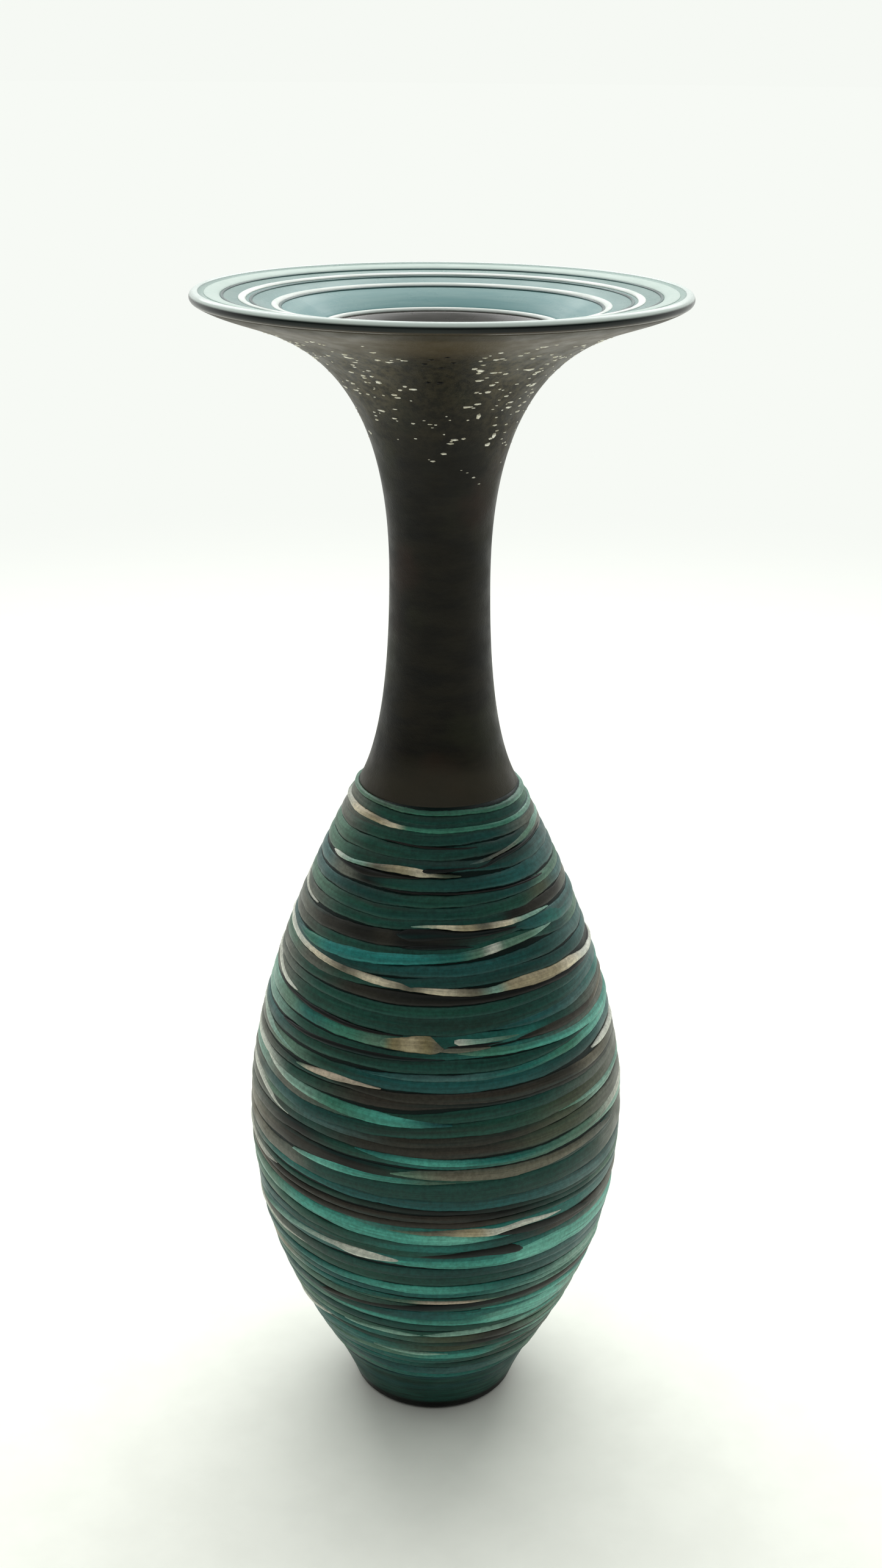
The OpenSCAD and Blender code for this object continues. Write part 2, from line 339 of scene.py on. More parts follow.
rough = ranged(tree, satin.outputs["Gloss"], 0.3, 0.7, 0.36, 0.52)
height = maths(tree, "ADD", maths(tree, "MULTIPLY", pulls.outputs["Streak"], 1.0),
               maths(tree, "MULTIPLY", satin.outputs["Grain"], 0.25))
close_finish(tree, skin_and_groove_shade, rough, height, 0.07 * MM, IOR=1.5, Specular_IOR_Level=0.18)
print(trail_glass.name, len(tree.nodes), "nodes")

# %% [markdown]
# ## Colours of the threads
# The maker has only a few colour rods, but pulls them thick or thin and smokes them. These are the tints that come
# out, from near black through teal and sea green to cream and gold leaf.

# %% Tints
# Some tints also stand for light: the pale grey, steel, sage, mist, taupe and pearl near the sides of the rings are
# painted sheen, and thin black strands in the grooves are painted shadow lines.
TINTS = {
    "black": screen(8, 12, 11), "soot": screen(18, 22, 19), "brown": screen(44, 43, 36),
    "russet": screen(50, 46, 39), "grey": screen(94, 97, 87), "taupe": screen(104, 100, 85),
    "deep": screen(22, 64, 56), "pine": screen(27, 70, 58), "blue": screen(28, 80, 78),
    "ink": screen(22, 64, 60), "teal": screen(32, 100, 92), "steel": screen(64, 98, 95),
    "sea": screen(70, 150, 135), "foam": screen(102, 174, 157), "mist": screen(126, 164, 148),
    "sage": screen(86, 120, 101), "olive": screen(66, 74, 56), "cream": screen(208, 198, 172),
    "pearl": screen(202, 205, 192), "blush": screen(184, 170, 150), "gold": screen(168, 156, 126),
    "leaf": screen(126, 116, 84),
}
print(len(TINTS), "tints")

# %% [markdown]
# ## The threads, one by one
# A thread is laid by hand, so it is listed one by one: where it runs, how wide it is and how its colour changes. Each
# course of its path is an azimuth in degrees (0 is the front, positive to the right), a height and a width in
# millimetres. A thread whose path comes back to 180 degrees is a full ring.

# %% Lay out the threads
Thread = namedtuple("Thread", "node path tints lift")


def thread(number, path, tints, lift=0.55):
    return Thread(f"trail_{number:02d}", path, tints, lift * MM)


# Painted sheen: most rings turn grey, steel, sage, mist, taupe or pearl near -75 and 75 degrees, the sides seen from
# the front, and get deeper tints again behind.
THREADS = [
    thread(1, [(-75, 23.6, 3.6), (-30, 21.4, 3.6), (0, 20.2, 3.6), (40, 20.2, 3.4), (75, 21.0, 3.4), (180, 22.2, 3.4)],
           [(-75, "steel"), (-20, "blue"), (20, "steel"), (60, "sage"), (180, "blue")]),
    thread(1, [(-75, 20.0, 2.8), (0, 17.8, 2.6), (40, 18.1, 2.4), (75, 18.8, 2.4), (180, 18.8, 2.8)],
           [(-75, "sage"), (0, "teal"), (60, "pine"), (180, "teal")], 0.45),
    thread(2, [(-75, 28.2, 3.2), (0, 25.9, 3.2), (75, 26.9, 3.0), (180, 27.0, 3.2)],
           [(-75, "steel"), (-10, "teal"), (30, "pine"), (75, "grey"), (180, "teal")]),
    thread(2, [(-75, 26.0, 2.2), (-40, 24.2, 2.4), (0, 23.2, 2.4), (40, 22.9, 2.4), (75, 23.8, 2.2), (180, 24.2, 2.6)],
           [(-75, "sage"), (-30, "teal"), (10, "deep"), (60, "pine"), (180, "teal")], 0.45),
    thread(3, [(-75, 30.8, 2.6), (0, 29.0, 2.6), (75, 29.6, 2.6), (180, 29.8, 2.6)],
           [(-75, "steel"), (0, "teal"), (75, "sage"), (180, "pine")], 0.4),
    thread(3, [(-52, 29.8, 0.4), (-35, 29.0, 1.6), (-20, 29.2, 2.0), (-5, 28.6, 2.4), (10, 28.2, 2.6), (20, 28.2, 2.0),
               (35, 28.8, 1.2), (48, 29.4, 0.4)],
           [(-52, "sage"), (-20, "sage"), (5, "sea"), (18, "sea"), (35, "grey")], 0.75),
    thread(3, [(-26, 30.4, 0.3), (-14, 30.1, 1.0), (-4, 29.7, 0.8), (6, 29.4, 0.3)], [(-26, "mist")], 0.8),
    thread(4, [(-75, 34.2, 3.2), (-30, 32.4, 3.4), (10, 31.9, 2.8), (60, 32.0, 2.8), (180, 32.6, 3.0)],
           [(-75, "steel"), (-30, "teal"), (8, "olive"), (30, "deep"), (75, "sage"), (180, "deep")]),
    thread(5, [(-75, 39.4, 2.2), (-45, 37.4, 2.0), (-20, 36.6, 2.4), (10, 36.0, 3.0), (40, 35.8, 3.0), (75, 37.0, 3.0),
               (180, 37.0, 3.0)],
           [(-75, "grey"), (-30, "teal"), (5, "olive"), (25, "brown"), (50, "sage"), (180, "brown")]),
    thread(5, [(-75, 37.0, 2.0), (-30, 34.9, 1.8), (0, 34.0, 1.8), (25, 33.6, 2.0), (75, 34.4, 2.0), (180, 34.8, 2.2)],
           [(-75, "sage"), (-30, "deep"), (0, "pine"), (20, "soot"), (60, "grey"), (180, "soot")], 0.45),
    # Painted reflection: this short pearl strand at the far left is the bright room reflected on the thread tops at the
    # grazing edge.
    thread(5, [(-78, 33.8, 0.4), (-64, 34.9, 1.4), (-52, 36.0, 1.0), (-44, 36.3, 0.3)], [(-78, "pearl")], 0.8),
    thread(5, [(32, 33.6, 0.3), (44, 33.6, 1.1), (56, 33.9, 1.1), (70, 34.6, 0.4)], [(32, "mist")], 0.8),
    thread(6, [(-75, 40.4, 2.6), (0, 38.6, 2.6), (75, 39.2, 2.6), (180, 39.2, 2.6)],
           [(-75, "sage"), (0, "pine"), (75, "sage"), (180, "teal")], 0.4),
    thread(6, [(-36, 38.6, 0.3), (-25, 38.9, 1.1), (-15, 38.8, 1.3), (-8, 38.6, 0.8), (-5, 38.5, 0.3)],
           [(-36, "mist")], 0.8),
    thread(6, [(-4, 38.6, 0.3), (4, 38.9, 1.3), (18, 39.2, 1.5), (28, 39.3, 1.1), (36, 40.0, 1.3), (48, 40.5, 1.2),
               (58, 40.7, 0.3)], [(-4, "mist"), (30, "mist"), (45, "foam")], 0.8),
    thread(7, [(-75, 43.6, 2.6), (-20, 42.0, 2.8), (20, 41.4, 2.4), (75, 42.2, 2.8), (180, 42.2, 2.8)],
           [(-75, "steel"), (-30, "deep"), (30, "pine"), (75, "sage"), (180, "deep")]),
    thread(8, [(-75, 46.2, 2.4), (0, 44.2, 2.6), (75, 45.0, 2.6), (180, 45.2, 2.8)],
           [(-75, "sage"), (0, "teal"), (75, "mist"), (180, "pine")], 0.4),
    thread(8, [(-44, 46.5, 0.3), (-30, 45.6, 1.2), (-12, 44.8, 1.6), (5, 43.9, 1.8), (13, 43.7, 2.2), (20, 44.4, 4.2),
               (30, 44.6, 5.6), (42, 44.0, 5.2), (52, 43.6, 3.2), (64, 43.4, 0.6)],
           [(-44, "sage"), (-25, "sea"), (15, "sea"), (22, "foam"), (45, "foam"), (60, "mist")], 0.7),
    thread(9, [(-75, 49.0, 2.8), (-30, 46.8, 2.4), (0, 46.9, 3.4), (14, 46.5, 3.2), (40, 47.6, 2.6), (75, 48.2, 2.6),
               (180, 48.2, 3.2)],
           [(-75, "steel"), (-35, "deep"), (-5, "blue"), (12, "teal"), (40, "teal"), (75, "steel"), (180, "blue")]),
    thread(9, [(16, 48.4, 0.3), (30, 48.3, 1.1), (50, 47.9, 1.5), (62, 47.4, 1.2), (78, 46.8, 0.3)],
           [(16, "sea"), (50, "foam")], 0.8),
    thread(10, [(-75, 51.4, 2.8), (0, 49.6, 2.8), (75, 50.2, 2.8), (180, 50.6, 2.8)],
           [(-75, "sage"), (0, "deep"), (75, "grey"), (180, "brown")], 0.4),
    thread(10, [(-46, 47.6, 0.4), (-35, 48.3, 1.6), (-15, 49.4, 2.2), (5, 50.3, 2.4), (25, 50.8, 2.2), (45, 50.7, 2.2),
                (65, 50.2, 2.0), (90, 49.4, 0.5)],
           [(-46, "brown"), (0, "black"), (22, "soot"), (50, "brown"), (80, "grey")], 0.6),
    thread(11, [(-75, 54.0, 2.0), (0, 52.4, 2.0), (75, 52.6, 2.0), (180, 53.0, 2.2)],
           [(-75, "blush"), (-40, "teal"), (10, "deep"), (75, "mist"), (180, "teal")], 0.4),
    thread(11, [(-36, 52.6, 0.3), (-20, 52.3, 0.8), (-3, 52.4, 1.0), (6, 52.2, 1.0), (14, 51.9, 0.8), (24, 51.8, 0.3)],
           [(-36, "teal"), (-10, "sage"), (0, "blush"), (10, "blush"), (20, "sage")], 0.8),
    thread(11, [(36, 52.4, 0.3), (50, 52.8, 0.9), (62, 53.0, 1.1), (74, 52.6, 0.9), (90, 52.0, 0.3)],
           [(36, "mist")], 0.8),
    thread(12, [(-75, 59.0, 2.2), (-45, 58.0, 2.2), (-20, 57.0, 2.6), (0, 56.5, 2.9), (30, 56.4, 2.4), (60, 56.2, 2.6),
                (180, 57.2, 2.6)],
           [(-75, "steel"), (-45, "teal"), (-5, "sea"), (25, "teal"), (60, "mist"), (180, "sea")], 0.6),
    thread(12, [(-75, 56.8, 2.2), (-40, 55.5, 2.0), (0, 54.7, 1.9), (40, 54.4, 1.8), (75, 54.2, 1.8), (180, 55.0, 2.2)],
           [(-75, "sage"), (-30, "blue"), (10, "teal"), (60, "mist"), (180, "teal")], 0.45),
    thread(13, [(-75, 64.4, 2.8), (-20, 62.6, 3.4), (30, 62.2, 3.2), (75, 61.8, 3.2), (180, 62.6, 3.4)],
           [(-75, "grey"), (-30, "deep"), (10, "ink"), (60, "steel"), (180, "deep")]),
    thread(13, [(-75, 61.8, 3.0), (-20, 60.0, 3.2), (30, 59.4, 3.2), (75, 59.2, 3.2), (180, 59.8, 3.2)],
           [(-75, "sage"), (-30, "pine"), (10, "deep"), (60, "steel"), (180, "pine")], 0.45),
    # Painted reflection: this short pearl strand at the far left is the bright room reflected on the thread tops at the
    # grazing edge.
    thread(13, [(-95, 64.6, 0.4), (-76, 63.8, 1.5), (-60, 63.2, 1.2), (-44, 62.7, 0.3)], [(-95, "pearl")], 0.8),
    thread(14, [(-75, 67.2, 3.4), (0, 66.4, 3.4), (75, 66.0, 3.4), (180, 66.4, 3.4)],
           [(-75, "steel"), (0, "teal"), (75, "sea"), (180, "sea")], 0.4),
    thread(14, [(-78, 66.2, 0.4), (-60, 67.2, 1.2), (-45, 67.5, 1.2), (-32, 67.4, 1.2), (-27, 66.9, 2.0),
                (-18, 66.6, 2.0), (-10, 66.3, 0.4)], [(-78, "sage"), (-50, "mist"), (-26, "pearl")], 0.8),
    thread(14, [(-20, 66.1, 0.3), (-10, 65.9, 1.6), (5, 65.5, 2.2), (20, 65.2, 2.8), (28, 66.0, 4.2), (40, 66.4, 5.2),
                (55, 65.8, 5.0), (75, 65.4, 4.6), (100, 65.6, 3.2), (150, 65.8, 0.5)],
           [(-20, "sea"), (20, "sea"), (28, "foam"), (60, "foam"), (100, "sea"), (150, "teal")], 0.7),
    thread(15, [(-75, 70.4, 2.6), (0, 68.6, 2.6), (75, 69.0, 2.6), (180, 69.2, 2.8)],
           [(-75, "steel"), (-20, "pine"), (30, "teal"), (75, "grey"), (180, "deep")], 0.4),
    thread(15, [(-6, 68.2, 0.3), (4, 68.4, 1.3), (14, 68.8, 1.8), (22, 68.4, 2.4), (26, 68.0, 2.2), (28, 67.6, 0.4)],
           [(-6, "brown"), (8, "soot")], 0.7),
    thread(16, [(-75, 74.2, 3.2), (-30, 71.6, 3.2), (0, 70.9, 3.0), (20, 71.3, 3.2), (75, 71.8, 3.4), (180, 72.4, 3.4)],
           [(-75, "sage"), (-35, "pine"), (0, "teal"), (24, "ink"), (40, "russet"), (55, "brown"), (75, "grey"),
            (180, "teal")]),
    thread(16, [(17, 74.4, 0.3), (22, 73.9, 1.6), (35, 73.2, 2.2), (48, 72.4, 1.6), (58, 71.8, 0.3)],
           [(17, "soot"), (35, "soot"), (48, "russet")], 0.7),
    thread(17, [(-75, 76.8, 3.6), (0, 75.4, 3.6), (75, 75.8, 3.8), (180, 76.0, 3.8)],
           [(-75, "mist"), (0, "teal"), (40, "teal"), (75, "steel"), (180, "sea")], 0.4),
    thread(17, [(-95, 80.0, 0.5), (-72, 78.2, 2.6), (-50, 76.6, 3.8), (-30, 75.4, 4.2), (-10, 74.1, 4.4), (5, 73.7, 3.8),
                (15, 73.4, 2.2), (24, 73.0, 0.4)],
           [(-95, "grey"), (-60, "sage"), (-42, "sea"), (-10, "sea"), (8, "foam"), (20, "teal")], 0.65),
    thread(17, [(-14, 75.9, 0.3), (-4, 75.7, 1.0), (4, 75.8, 1.5), (12, 75.4, 2.0), (18, 74.9, 1.8), (21, 75.2, 1.3),
                (28, 75.6, 1.3), (35, 75.3, 0.9), (41, 75.2, 0.3)],
           [(-14, "sage"), (0, "taupe"), (12, "gold"), (20, "pearl"), (36, "pearl")], 0.85),
    thread(18, [(-75, 82.6, 1.6), (-60, 81.7, 1.7), (-30, 80.4, 2.0), (0, 79.7, 2.2), (30, 79.7, 2.0), (60, 79.5, 2.0),
                (180, 80.4, 2.4)],
           [(-75, "pearl"), (-58, "brown"), (0, "russet"), (20, "soot"), (48, "deep"), (68, "sage"), (180, "brown")]),
    thread(18, [(-75, 80.6, 1.5), (-50, 79.2, 1.7), (-20, 78.2, 1.8), (10, 77.8, 1.9), (40, 77.8, 1.6), (75, 77.6, 1.8),
                (180, 78.2, 2.2)],
           [(-75, "taupe"), (-45, "brown"), (12, "russet"), (40, "deep"), (75, "steel"), (180, "russet")], 0.5),
    thread(19, [(-75, 86.2, 2.0), (-50, 86.0, 2.4), (-25, 85.0, 2.8), (0, 84.0, 3.4), (30, 83.3, 3.8), (60, 82.8, 3.8),
                (180, 84.4, 4.0)],
           [(-75, "grey"), (-50, "teal"), (-20, "blue"), (20, "blue"), (55, "steel"), (180, "ink")]),
    thread(19, [(-75, 84.2, 1.8), (-50, 83.2, 1.6), (-20, 82.4, 1.8), (10, 81.6, 1.8), (60, 81.0, 2.0), (180, 82.0, 2.2)],
           [(-75, "grey"), (-50, "pine"), (0, "soot"), (60, "deep"), (180, "deep")], 0.4),
    # Painted reflection: this short pearl strand at the far left is the bright room reflected on the thread tops at the
    # grazing edge.
    thread(19, [(-92, 84.6, 0.4), (-78, 83.6, 1.4), (-66, 82.8, 1.3), (-56, 82.6, 0.4)], [(-92, "pearl")], 0.8),
]
print(len(THREADS), "threads laid out up to the belly")

# %% [markdown]
# The upper half goes on the same way. Thin cream and gold threads, and a few near-black strands and smears, lie over
# the broad ones here, and some threads climb across their neighbours instead of running level. Most of the thin
# near-black strands lie in the groove under a trail: they are painted shadow lines.

# %% Lay out the threads of the shoulder
TINTS["lagoon"] = screen(38, 122, 117)
TINTS["jade"] = screen(58, 118, 98)

# Painted sheen here too: the paler tints near -75 and 75 degrees stand for the bright room reflected at the grazing
# sides.
THREADS += [
    thread(20, [(-75, 89.0, 3.8), (-40, 88.4, 4.4), (0, 87.6, 5.4), (40, 87.5, 6.2), (70, 88.0, 6.2), (180, 87.6, 5.0)],
           [(-75, "taupe"), (-48, "grey"), (-36, "deep"), (45, "deep"), (75, "grey"), (180, "deep")]),
    thread(21, [(-75, 93.4, 4.4), (-40, 93.4, 4.2), (0, 92.0, 3.6), (40, 91.8, 3.2), (75, 92.0, 3.6), (180, 92.4, 4.0)],
           [(-75, "taupe"), (-48, "brown"), (-25, "soot"), (0, "pine"), (60, "deep"), (75, "grey"), (180, "brown")], 0.45),
    thread(21, [(-47, 90.8, 0.4), (-40, 91.0, 1.4), (-30, 91.2, 2.0), (-20, 91.0, 1.9), (-10, 90.9, 1.5), (6, 90.6, 0.4)],
           [(-47, "mist"), (-36, "foam"), (-25, "sea"), (-12, "sea"), (0, "sage")], 0.8),
    thread(22, [(-13, 92.7, 0.5), (-5, 92.8, 1.8), (10, 92.4, 2.6), (20, 91.9, 2.8), (30, 92.0, 2.6), (45, 92.4, 2.2),
                (58, 92.6, 1.8), (68, 92.4, 0.4)], [(-13, "sage"), (5, "taupe"), (40, "taupe"), (60, "grey")], 0.8),
    thread(23, [(-75, 96.8, 3.2), (-40, 97.2, 3.0), (-15, 96.4, 2.8), (0, 95.6, 2.8), (30, 95.3, 2.6), (60, 95.8, 2.8),
                (78, 95.0, 3.0), (180, 96.0, 3.0)],
           [(-75, "grey"), (-45, "soot"), (-25, "pine"), (0, "teal"), (50, "sage"), (70, "mist"), (180, "teal")]),
    thread(23, [(-24, 98.0, 0.4), (-15, 97.2, 1.4), (0, 96.2, 1.7), (15, 95.7, 1.5), (30, 95.7, 1.6), (50, 96.2, 1.8),
                (65, 96.8, 2.2), (80, 97.0, 2.0), (110, 97.0, 0.4)],
           [(-24, "teal"), (0, "sea"), (20, "teal"), (50, "sage"), (75, "pearl")], 0.75),
    thread(24, [(-75, 100.6, 3.4), (-40, 100.2, 3.0), (0, 98.9, 3.4), (30, 99.1, 4.0), (60, 99.8, 4.6), (180, 99.4, 4.6)],
           [(-75, "grey"), (-42, "deep"), (-20, "brown"), (15, "russet"), (40, "olive"), (75, "grey"), (180, "brown")]),
    thread(24, [(-75, 102.6, 2.4), (-40, 101.8, 2.4), (0, 101.2, 3.2), (30, 102.2, 2.6), (60, 103.7, 2.4),
                (80, 104.0, 2.4), (180, 102.4, 2.8)],
           [(-75, "pearl"), (-60, "sage"), (-40, "steel"), (-10, "brown"), (20, "brown"), (45, "olive"), (62, "mist"),
            (80, "grey"), (180, "russet")], 0.45),
    # Painted reflection: this short pearl strand at the far left is the bright room reflected on the thread tops at the
    # grazing edge.
    thread(24, [(-80, 102.4, 0.4), (-72, 102.8, 1.2), (-64, 101.8, 1.4), (-56, 100.2, 1.0), (-50, 99.4, 0.4)],
           [(-80, "pearl")], 0.8),
    thread(25, [(-75, 105.4, 2.8), (-40, 103.8, 3.2), (0, 104.2, 3.6), (40, 105.4, 4.2), (75, 106.6, 4.0), (180, 104.8, 4.0)],
           [(-75, "grey"), (-55, "steel"), (-42, "ink"), (-15, "deep"), (20, "pine"), (50, "olive"), (75, "grey"),
            (180, "deep")]),
    thread(25, [(40, 103.9, 0.3), (50, 104.3, 1.0), (62, 104.6, 1.2), (78, 104.6, 1.0), (95, 104.2, 0.3)],
           [(40, "sage"), (60, "mist")], 0.8),
    thread(26, [(-75, 108.4, 3.4), (-40, 106.6, 3.2), (-10, 107.0, 2.8), (20, 108.2, 3.6), (75, 108.8, 3.0), (180, 107.6, 3.6)],
           [(-75, "mist"), (-55, "grey"), (-20, "pine"), (30, "deep"), (75, "grey"), (180, "deep")], 0.45),
    thread(26, [(-66, 110.0, 0.4), (-55, 108.9, 1.5), (-40, 107.9, 2.2), (-25, 107.0, 2.6), (-12, 106.5, 2.4),
                (-4, 106.2, 1.7), (5, 105.7, 0.4)],
           [(-66, "pearl"), (-48, "mist"), (-32, "jade"), (-12, "sea"), (2, "blue")], 0.75),
    thread(27, [(-75, 110.7, 2.2), (-30, 110.8, 3.0), (-10, 110.7, 2.6), (10, 110.9, 2.0), (60, 110.9, 2.2), (180, 110.8, 2.6)],
           [(-75, "pearl"), (-50, "pine"), (-20, "russet"), (20, "soot"), (60, "brown"), (180, "brown")], 0.5),
    thread(27, [(-75, 113.0, 2.2), (-30, 113.1, 1.6), (-10, 112.4, 2.6), (15, 112.1, 3.2), (40, 112.1, 3.4), (60, 112.0, 3.2),
                (80, 111.8, 3.0), (180, 112.6, 3.0)],
           [(-75, "grey"), (-45, "deep"), (-22, "brown"), (20, "russet"), (45, "brown"), (60, "taupe"), (80, "grey"),
            (180, "russet")]),
    thread(27, [(60, 114.4, 0.3), (68, 114.5, 1.4), (80, 114.2, 1.4), (94, 113.6, 0.3)], [(60, "pearl")], 0.8),
    thread(28, [(-50, 113.5, 0.3), (-42, 113.9, 1.2), (-33, 114.2, 1.6), (-25, 114.1, 1.0), (-17, 114.0, 0.3)],
           [(-50, "sage"), (-40, "blush"), (-22, "blush")], 0.85),
    # Painted reflection: this short pearl strand at the far left is the bright room reflected on the thread tops at the
    # grazing edge.
    thread(28, [(-95, 119.6, 0.3), (-78, 117.8, 1.5), (-66, 116.7, 1.2), (-54, 115.8, 0.7), (-46, 115.4, 0.3)],
           [(-95, "pearl"), (-60, "mist")], 0.8),
    thread(29, [(-75, 116.2, 3.6), (-40, 116.2, 3.2), (0, 115.5, 3.8), (40, 116.0, 3.8), (75, 117.6, 3.4), (180, 116.4, 3.8)],
           [(-75, "grey"), (-55, "sage"), (-38, "pine"), (-15, "blue"), (20, "blue"), (50, "ink"), (75, "steel"),
            (180, "blue")]),
    thread(29, [(-26, 117.4, 0.3), (-10, 117.5, 1.3), (10, 117.3, 1.5), (30, 117.7, 1.7), (45, 118.6, 2.0), (60, 119.6, 2.6),
                (75, 120.2, 2.8), (90, 120.4, 2.2), (112, 120.2, 0.4)],
           [(-26, "blue"), (5, "steel"), (28, "teal"), (48, "jade"), (62, "foam"), (80, "foam"), (105, "sea")], 0.7),
    thread(30, [(-75, 119.8, 3.0), (-40, 119.8, 2.8), (0, 120.1, 3.8), (25, 119.9, 3.4), (45, 120.3, 1.8), (58, 120.9, 1.2),
                (110, 120.2, 2.6), (180, 120.3, 3.6)],
           [(-75, "steel"), (-45, "pine"), (0, "deep"), (45, "deep"), (180, "deep")]),
    thread(31, [(-75, 123.4, 2.8), (-40, 122.8, 2.4), (0, 122.7, 2.2), (30, 123.4, 2.2), (75, 123.8, 2.6), (180, 122.9, 2.8)],
           [(-75, "mist"), (-50, "pine"), (-10, "deep"), (20, "teal"), (75, "grey"), (180, "teal")], 0.45),
    # Painted shadow line: a thin black strand in the groove under a trail.
    thread(31, [(-62, 121.3, 0.3), (-45, 121.6, 1.2), (-25, 122.0, 1.4), (-8, 122.0, 1.0), (3, 121.9, 0.3)],
           [(-62, "soot"), (-40, "black")], 0.7),
    thread(31, [(7, 123.4, 0.4), (14, 123.2, 1.6), (30, 122.7, 1.7), (45, 122.2, 1.8), (56, 121.9, 2.0), (68, 121.5, 2.6),
                (80, 121.5, 2.4), (100, 121.7, 2.0), (140, 122.2, 0.4)],
           [(7, "sage"), (16, "jade"), (40, "sea"), (60, "foam"), (100, "sea")], 0.8),
    thread(32, [(-75, 126.8, 3.8), (-50, 126.2, 3.8), (-20, 125.8, 3.8), (20, 126.2, 3.6), (75, 126.8, 3.4), (180, 126.0, 3.8)],
           [(-78, "mist"), (-62, "sage"), (-48, "teal"), (-30, "jade"), (-20, "sage"), (-10, "deep"), (30, "teal"),
            (45, "deep"), (75, "grey"), (180, "teal")]),
    thread(32, [(-18.5, 125.3, 1.6), (-17, 125.4, 2.6), (-12, 125.5, 3.2), (-6, 125.6, 3.6), (-1.5, 125.4, 3.6),
                (0.5, 124.9, 2.4), (2.5, 124.5, 0.5)],
           [(-18, "sage"), (-14, "leaf"), (-8, "gold"), (-3, "leaf"), (1, "taupe")], 0.85),
    thread(32, [(6, 126.2, 0.8), (7.5, 126.1, 1.5), (14, 126.0, 1.2), (24, 126.0, 0.8), (30, 126.0, 0.3)],
           [(6, "pearl"), (14, "mist"), (24, "sage")], 0.85),
    # Painted shadow line: a thin black strand in the groove under a trail.
    thread(32, [(3, 125.0, 0.3), (8, 125.0, 0.9), (16, 125.0, 0.8), (25, 125.3, 0.3)], [(3, "black")], 0.8),
    thread(32, [(0, 124.0, 0.3), (6, 124.2, 1.3), (12, 124.2, 1.1), (18, 124.2, 0.3)], [(0, "taupe")], 0.75),
    thread(32, [(27, 125.0, 0.3), (35, 125.2, 1.8), (45, 125.4, 2.6), (55, 125.4, 2.6), (65, 125.6, 2.2), (78, 126.4, 1.8),
                (96, 126.8, 0.4)], [(27, "soot"), (40, "brown"), (60, "russet"), (78, "taupe")], 0.7),
    # Painted shadow line: a thin black strand in the groove under a trail.
    thread(32, [(-74, 129.6, 0.3), (-55, 128.6, 0.9), (-40, 127.8, 1.1), (-25, 127.4, 0.9), (-11, 127.4, 0.3)],
           [(-74, "soot"), (-45, "black")], 0.7),
    thread(33, [(-75, 131.2, 4.0), (-40, 130.4, 4.4), (0, 129.8, 5.2), (30, 130.6, 4.2), (60, 131.8, 3.8), (80, 132.4, 3.8),
                (180, 130.6, 5.0)],
           [(-75, "grey"), (-48, "pine"), (0, "deep"), (40, "deep"), (75, "steel"), (180, "deep")]),
    thread(33, [(-75, 134.2, 2.4), (-40, 133.4, 2.6), (0, 133.0, 3.0), (50, 134.0, 2.6), (180, 133.4, 2.8)],
           [(-75, "grey"), (-45, "pine"), (0, "pine"), (45, "deep"), (75, "steel"), (180, "pine")], 0.45),
    thread(33, [(18, 128.4, 0.3), (26, 128.5, 1.2), (40, 128.7, 2.0), (55, 129.3, 2.4), (70, 130.2, 3.0), (85, 130.6, 3.0),
                (120, 130.0, 0.5)], [(18, "ink"), (38, "blue"), (58, "steel"), (72, "teal"), (100, "sea")], 0.7),
    # Painted reflection: this short pearl strand at the far left is the bright room reflected on the thread tops at the
    # grazing edge.
    thread(33, [(-96, 134.0, 0.4), (-78, 131.8, 1.6), (-66, 130.4, 1.4), (-56, 129.8, 0.4)], [(-96, "pearl")], 0.8),
    thread(34, [(-75, 136.6, 2.8), (-50, 136.3, 2.6), (-20, 136.1, 3.4), (0, 136.0, 3.0), (20, 135.9, 2.2), (45, 135.9, 2.0),
                (75, 135.4, 2.0), (180, 135.8, 2.8)],
           [(-75, "grey"), (-52, "pine"), (-30, "brown"), (-5, "soot"), (20, "black"), (60, "black"), (180, "brown")]),
    thread(35, [(-95, 143.0, 0.4), (-82, 142.4, 1.8), (-70, 141.6, 1.6), (-55, 140.8, 1.4), (-40, 140.0, 1.4),
                (-20, 139.1, 1.7), (-12, 138.8, 1.6), (-9.5, 138.3, 1.0), (-7, 138.4, 1.2), (0, 138.1, 1.5), (10, 137.7, 1.6),
                (20, 137.5, 1.4), (25, 137.7, 1.9), (32, 137.9, 2.5), (45, 137.6, 2.4), (58, 137.3, 2.5), (65, 136.8, 2.0),
                (72, 136.2, 1.4), (82, 135.7, 1.1), (105, 135.2, 0.4)],
           [(-95, "pearl"), (-66, "pearl"), (-50, "cream"), (-36, "taupe"), (-22, "cream"), (-10, "taupe"), (0, "cream"),
            (14, "taupe"), (22, "mist"), (28, "gold"), (48, "gold"), (58, "cream"), (72, "pearl")], 0.9),
    thread(36, [(-75, 139.2, 3.0), (-45, 138.4, 2.8), (-15, 139.2, 2.8), (0, 140.0, 3.0), (30, 140.6, 3.2), (60, 140.2, 3.2),
                (180, 140.2, 3.6)],
           [(-75, "sage"), (-55, "grey"), (-35, "pine"), (-10, "ink"), (30, "ink"), (60, "ink"), (80, "steel"),
            (180, "blue")]),
    thread(36, [(-75, 142.8, 3.2), (-40, 141.6, 2.8), (0, 142.6, 3.2), (30, 143.4, 3.6), (60, 144.0, 4.0), (80, 143.8, 3.8),
                (180, 143.2, 3.8)],
           [(-75, "steel"), (-40, "ink"), (15, "blue"), (45, "ink"), (75, "steel"), (180, "ink")], 0.5),
    thread(37, [(-75, 145.8, 3.0), (-40, 146.0, 2.6), (0, 147.0, 2.6), (30, 148.4, 2.4), (60, 147.0, 3.4), (80, 146.6, 3.4),
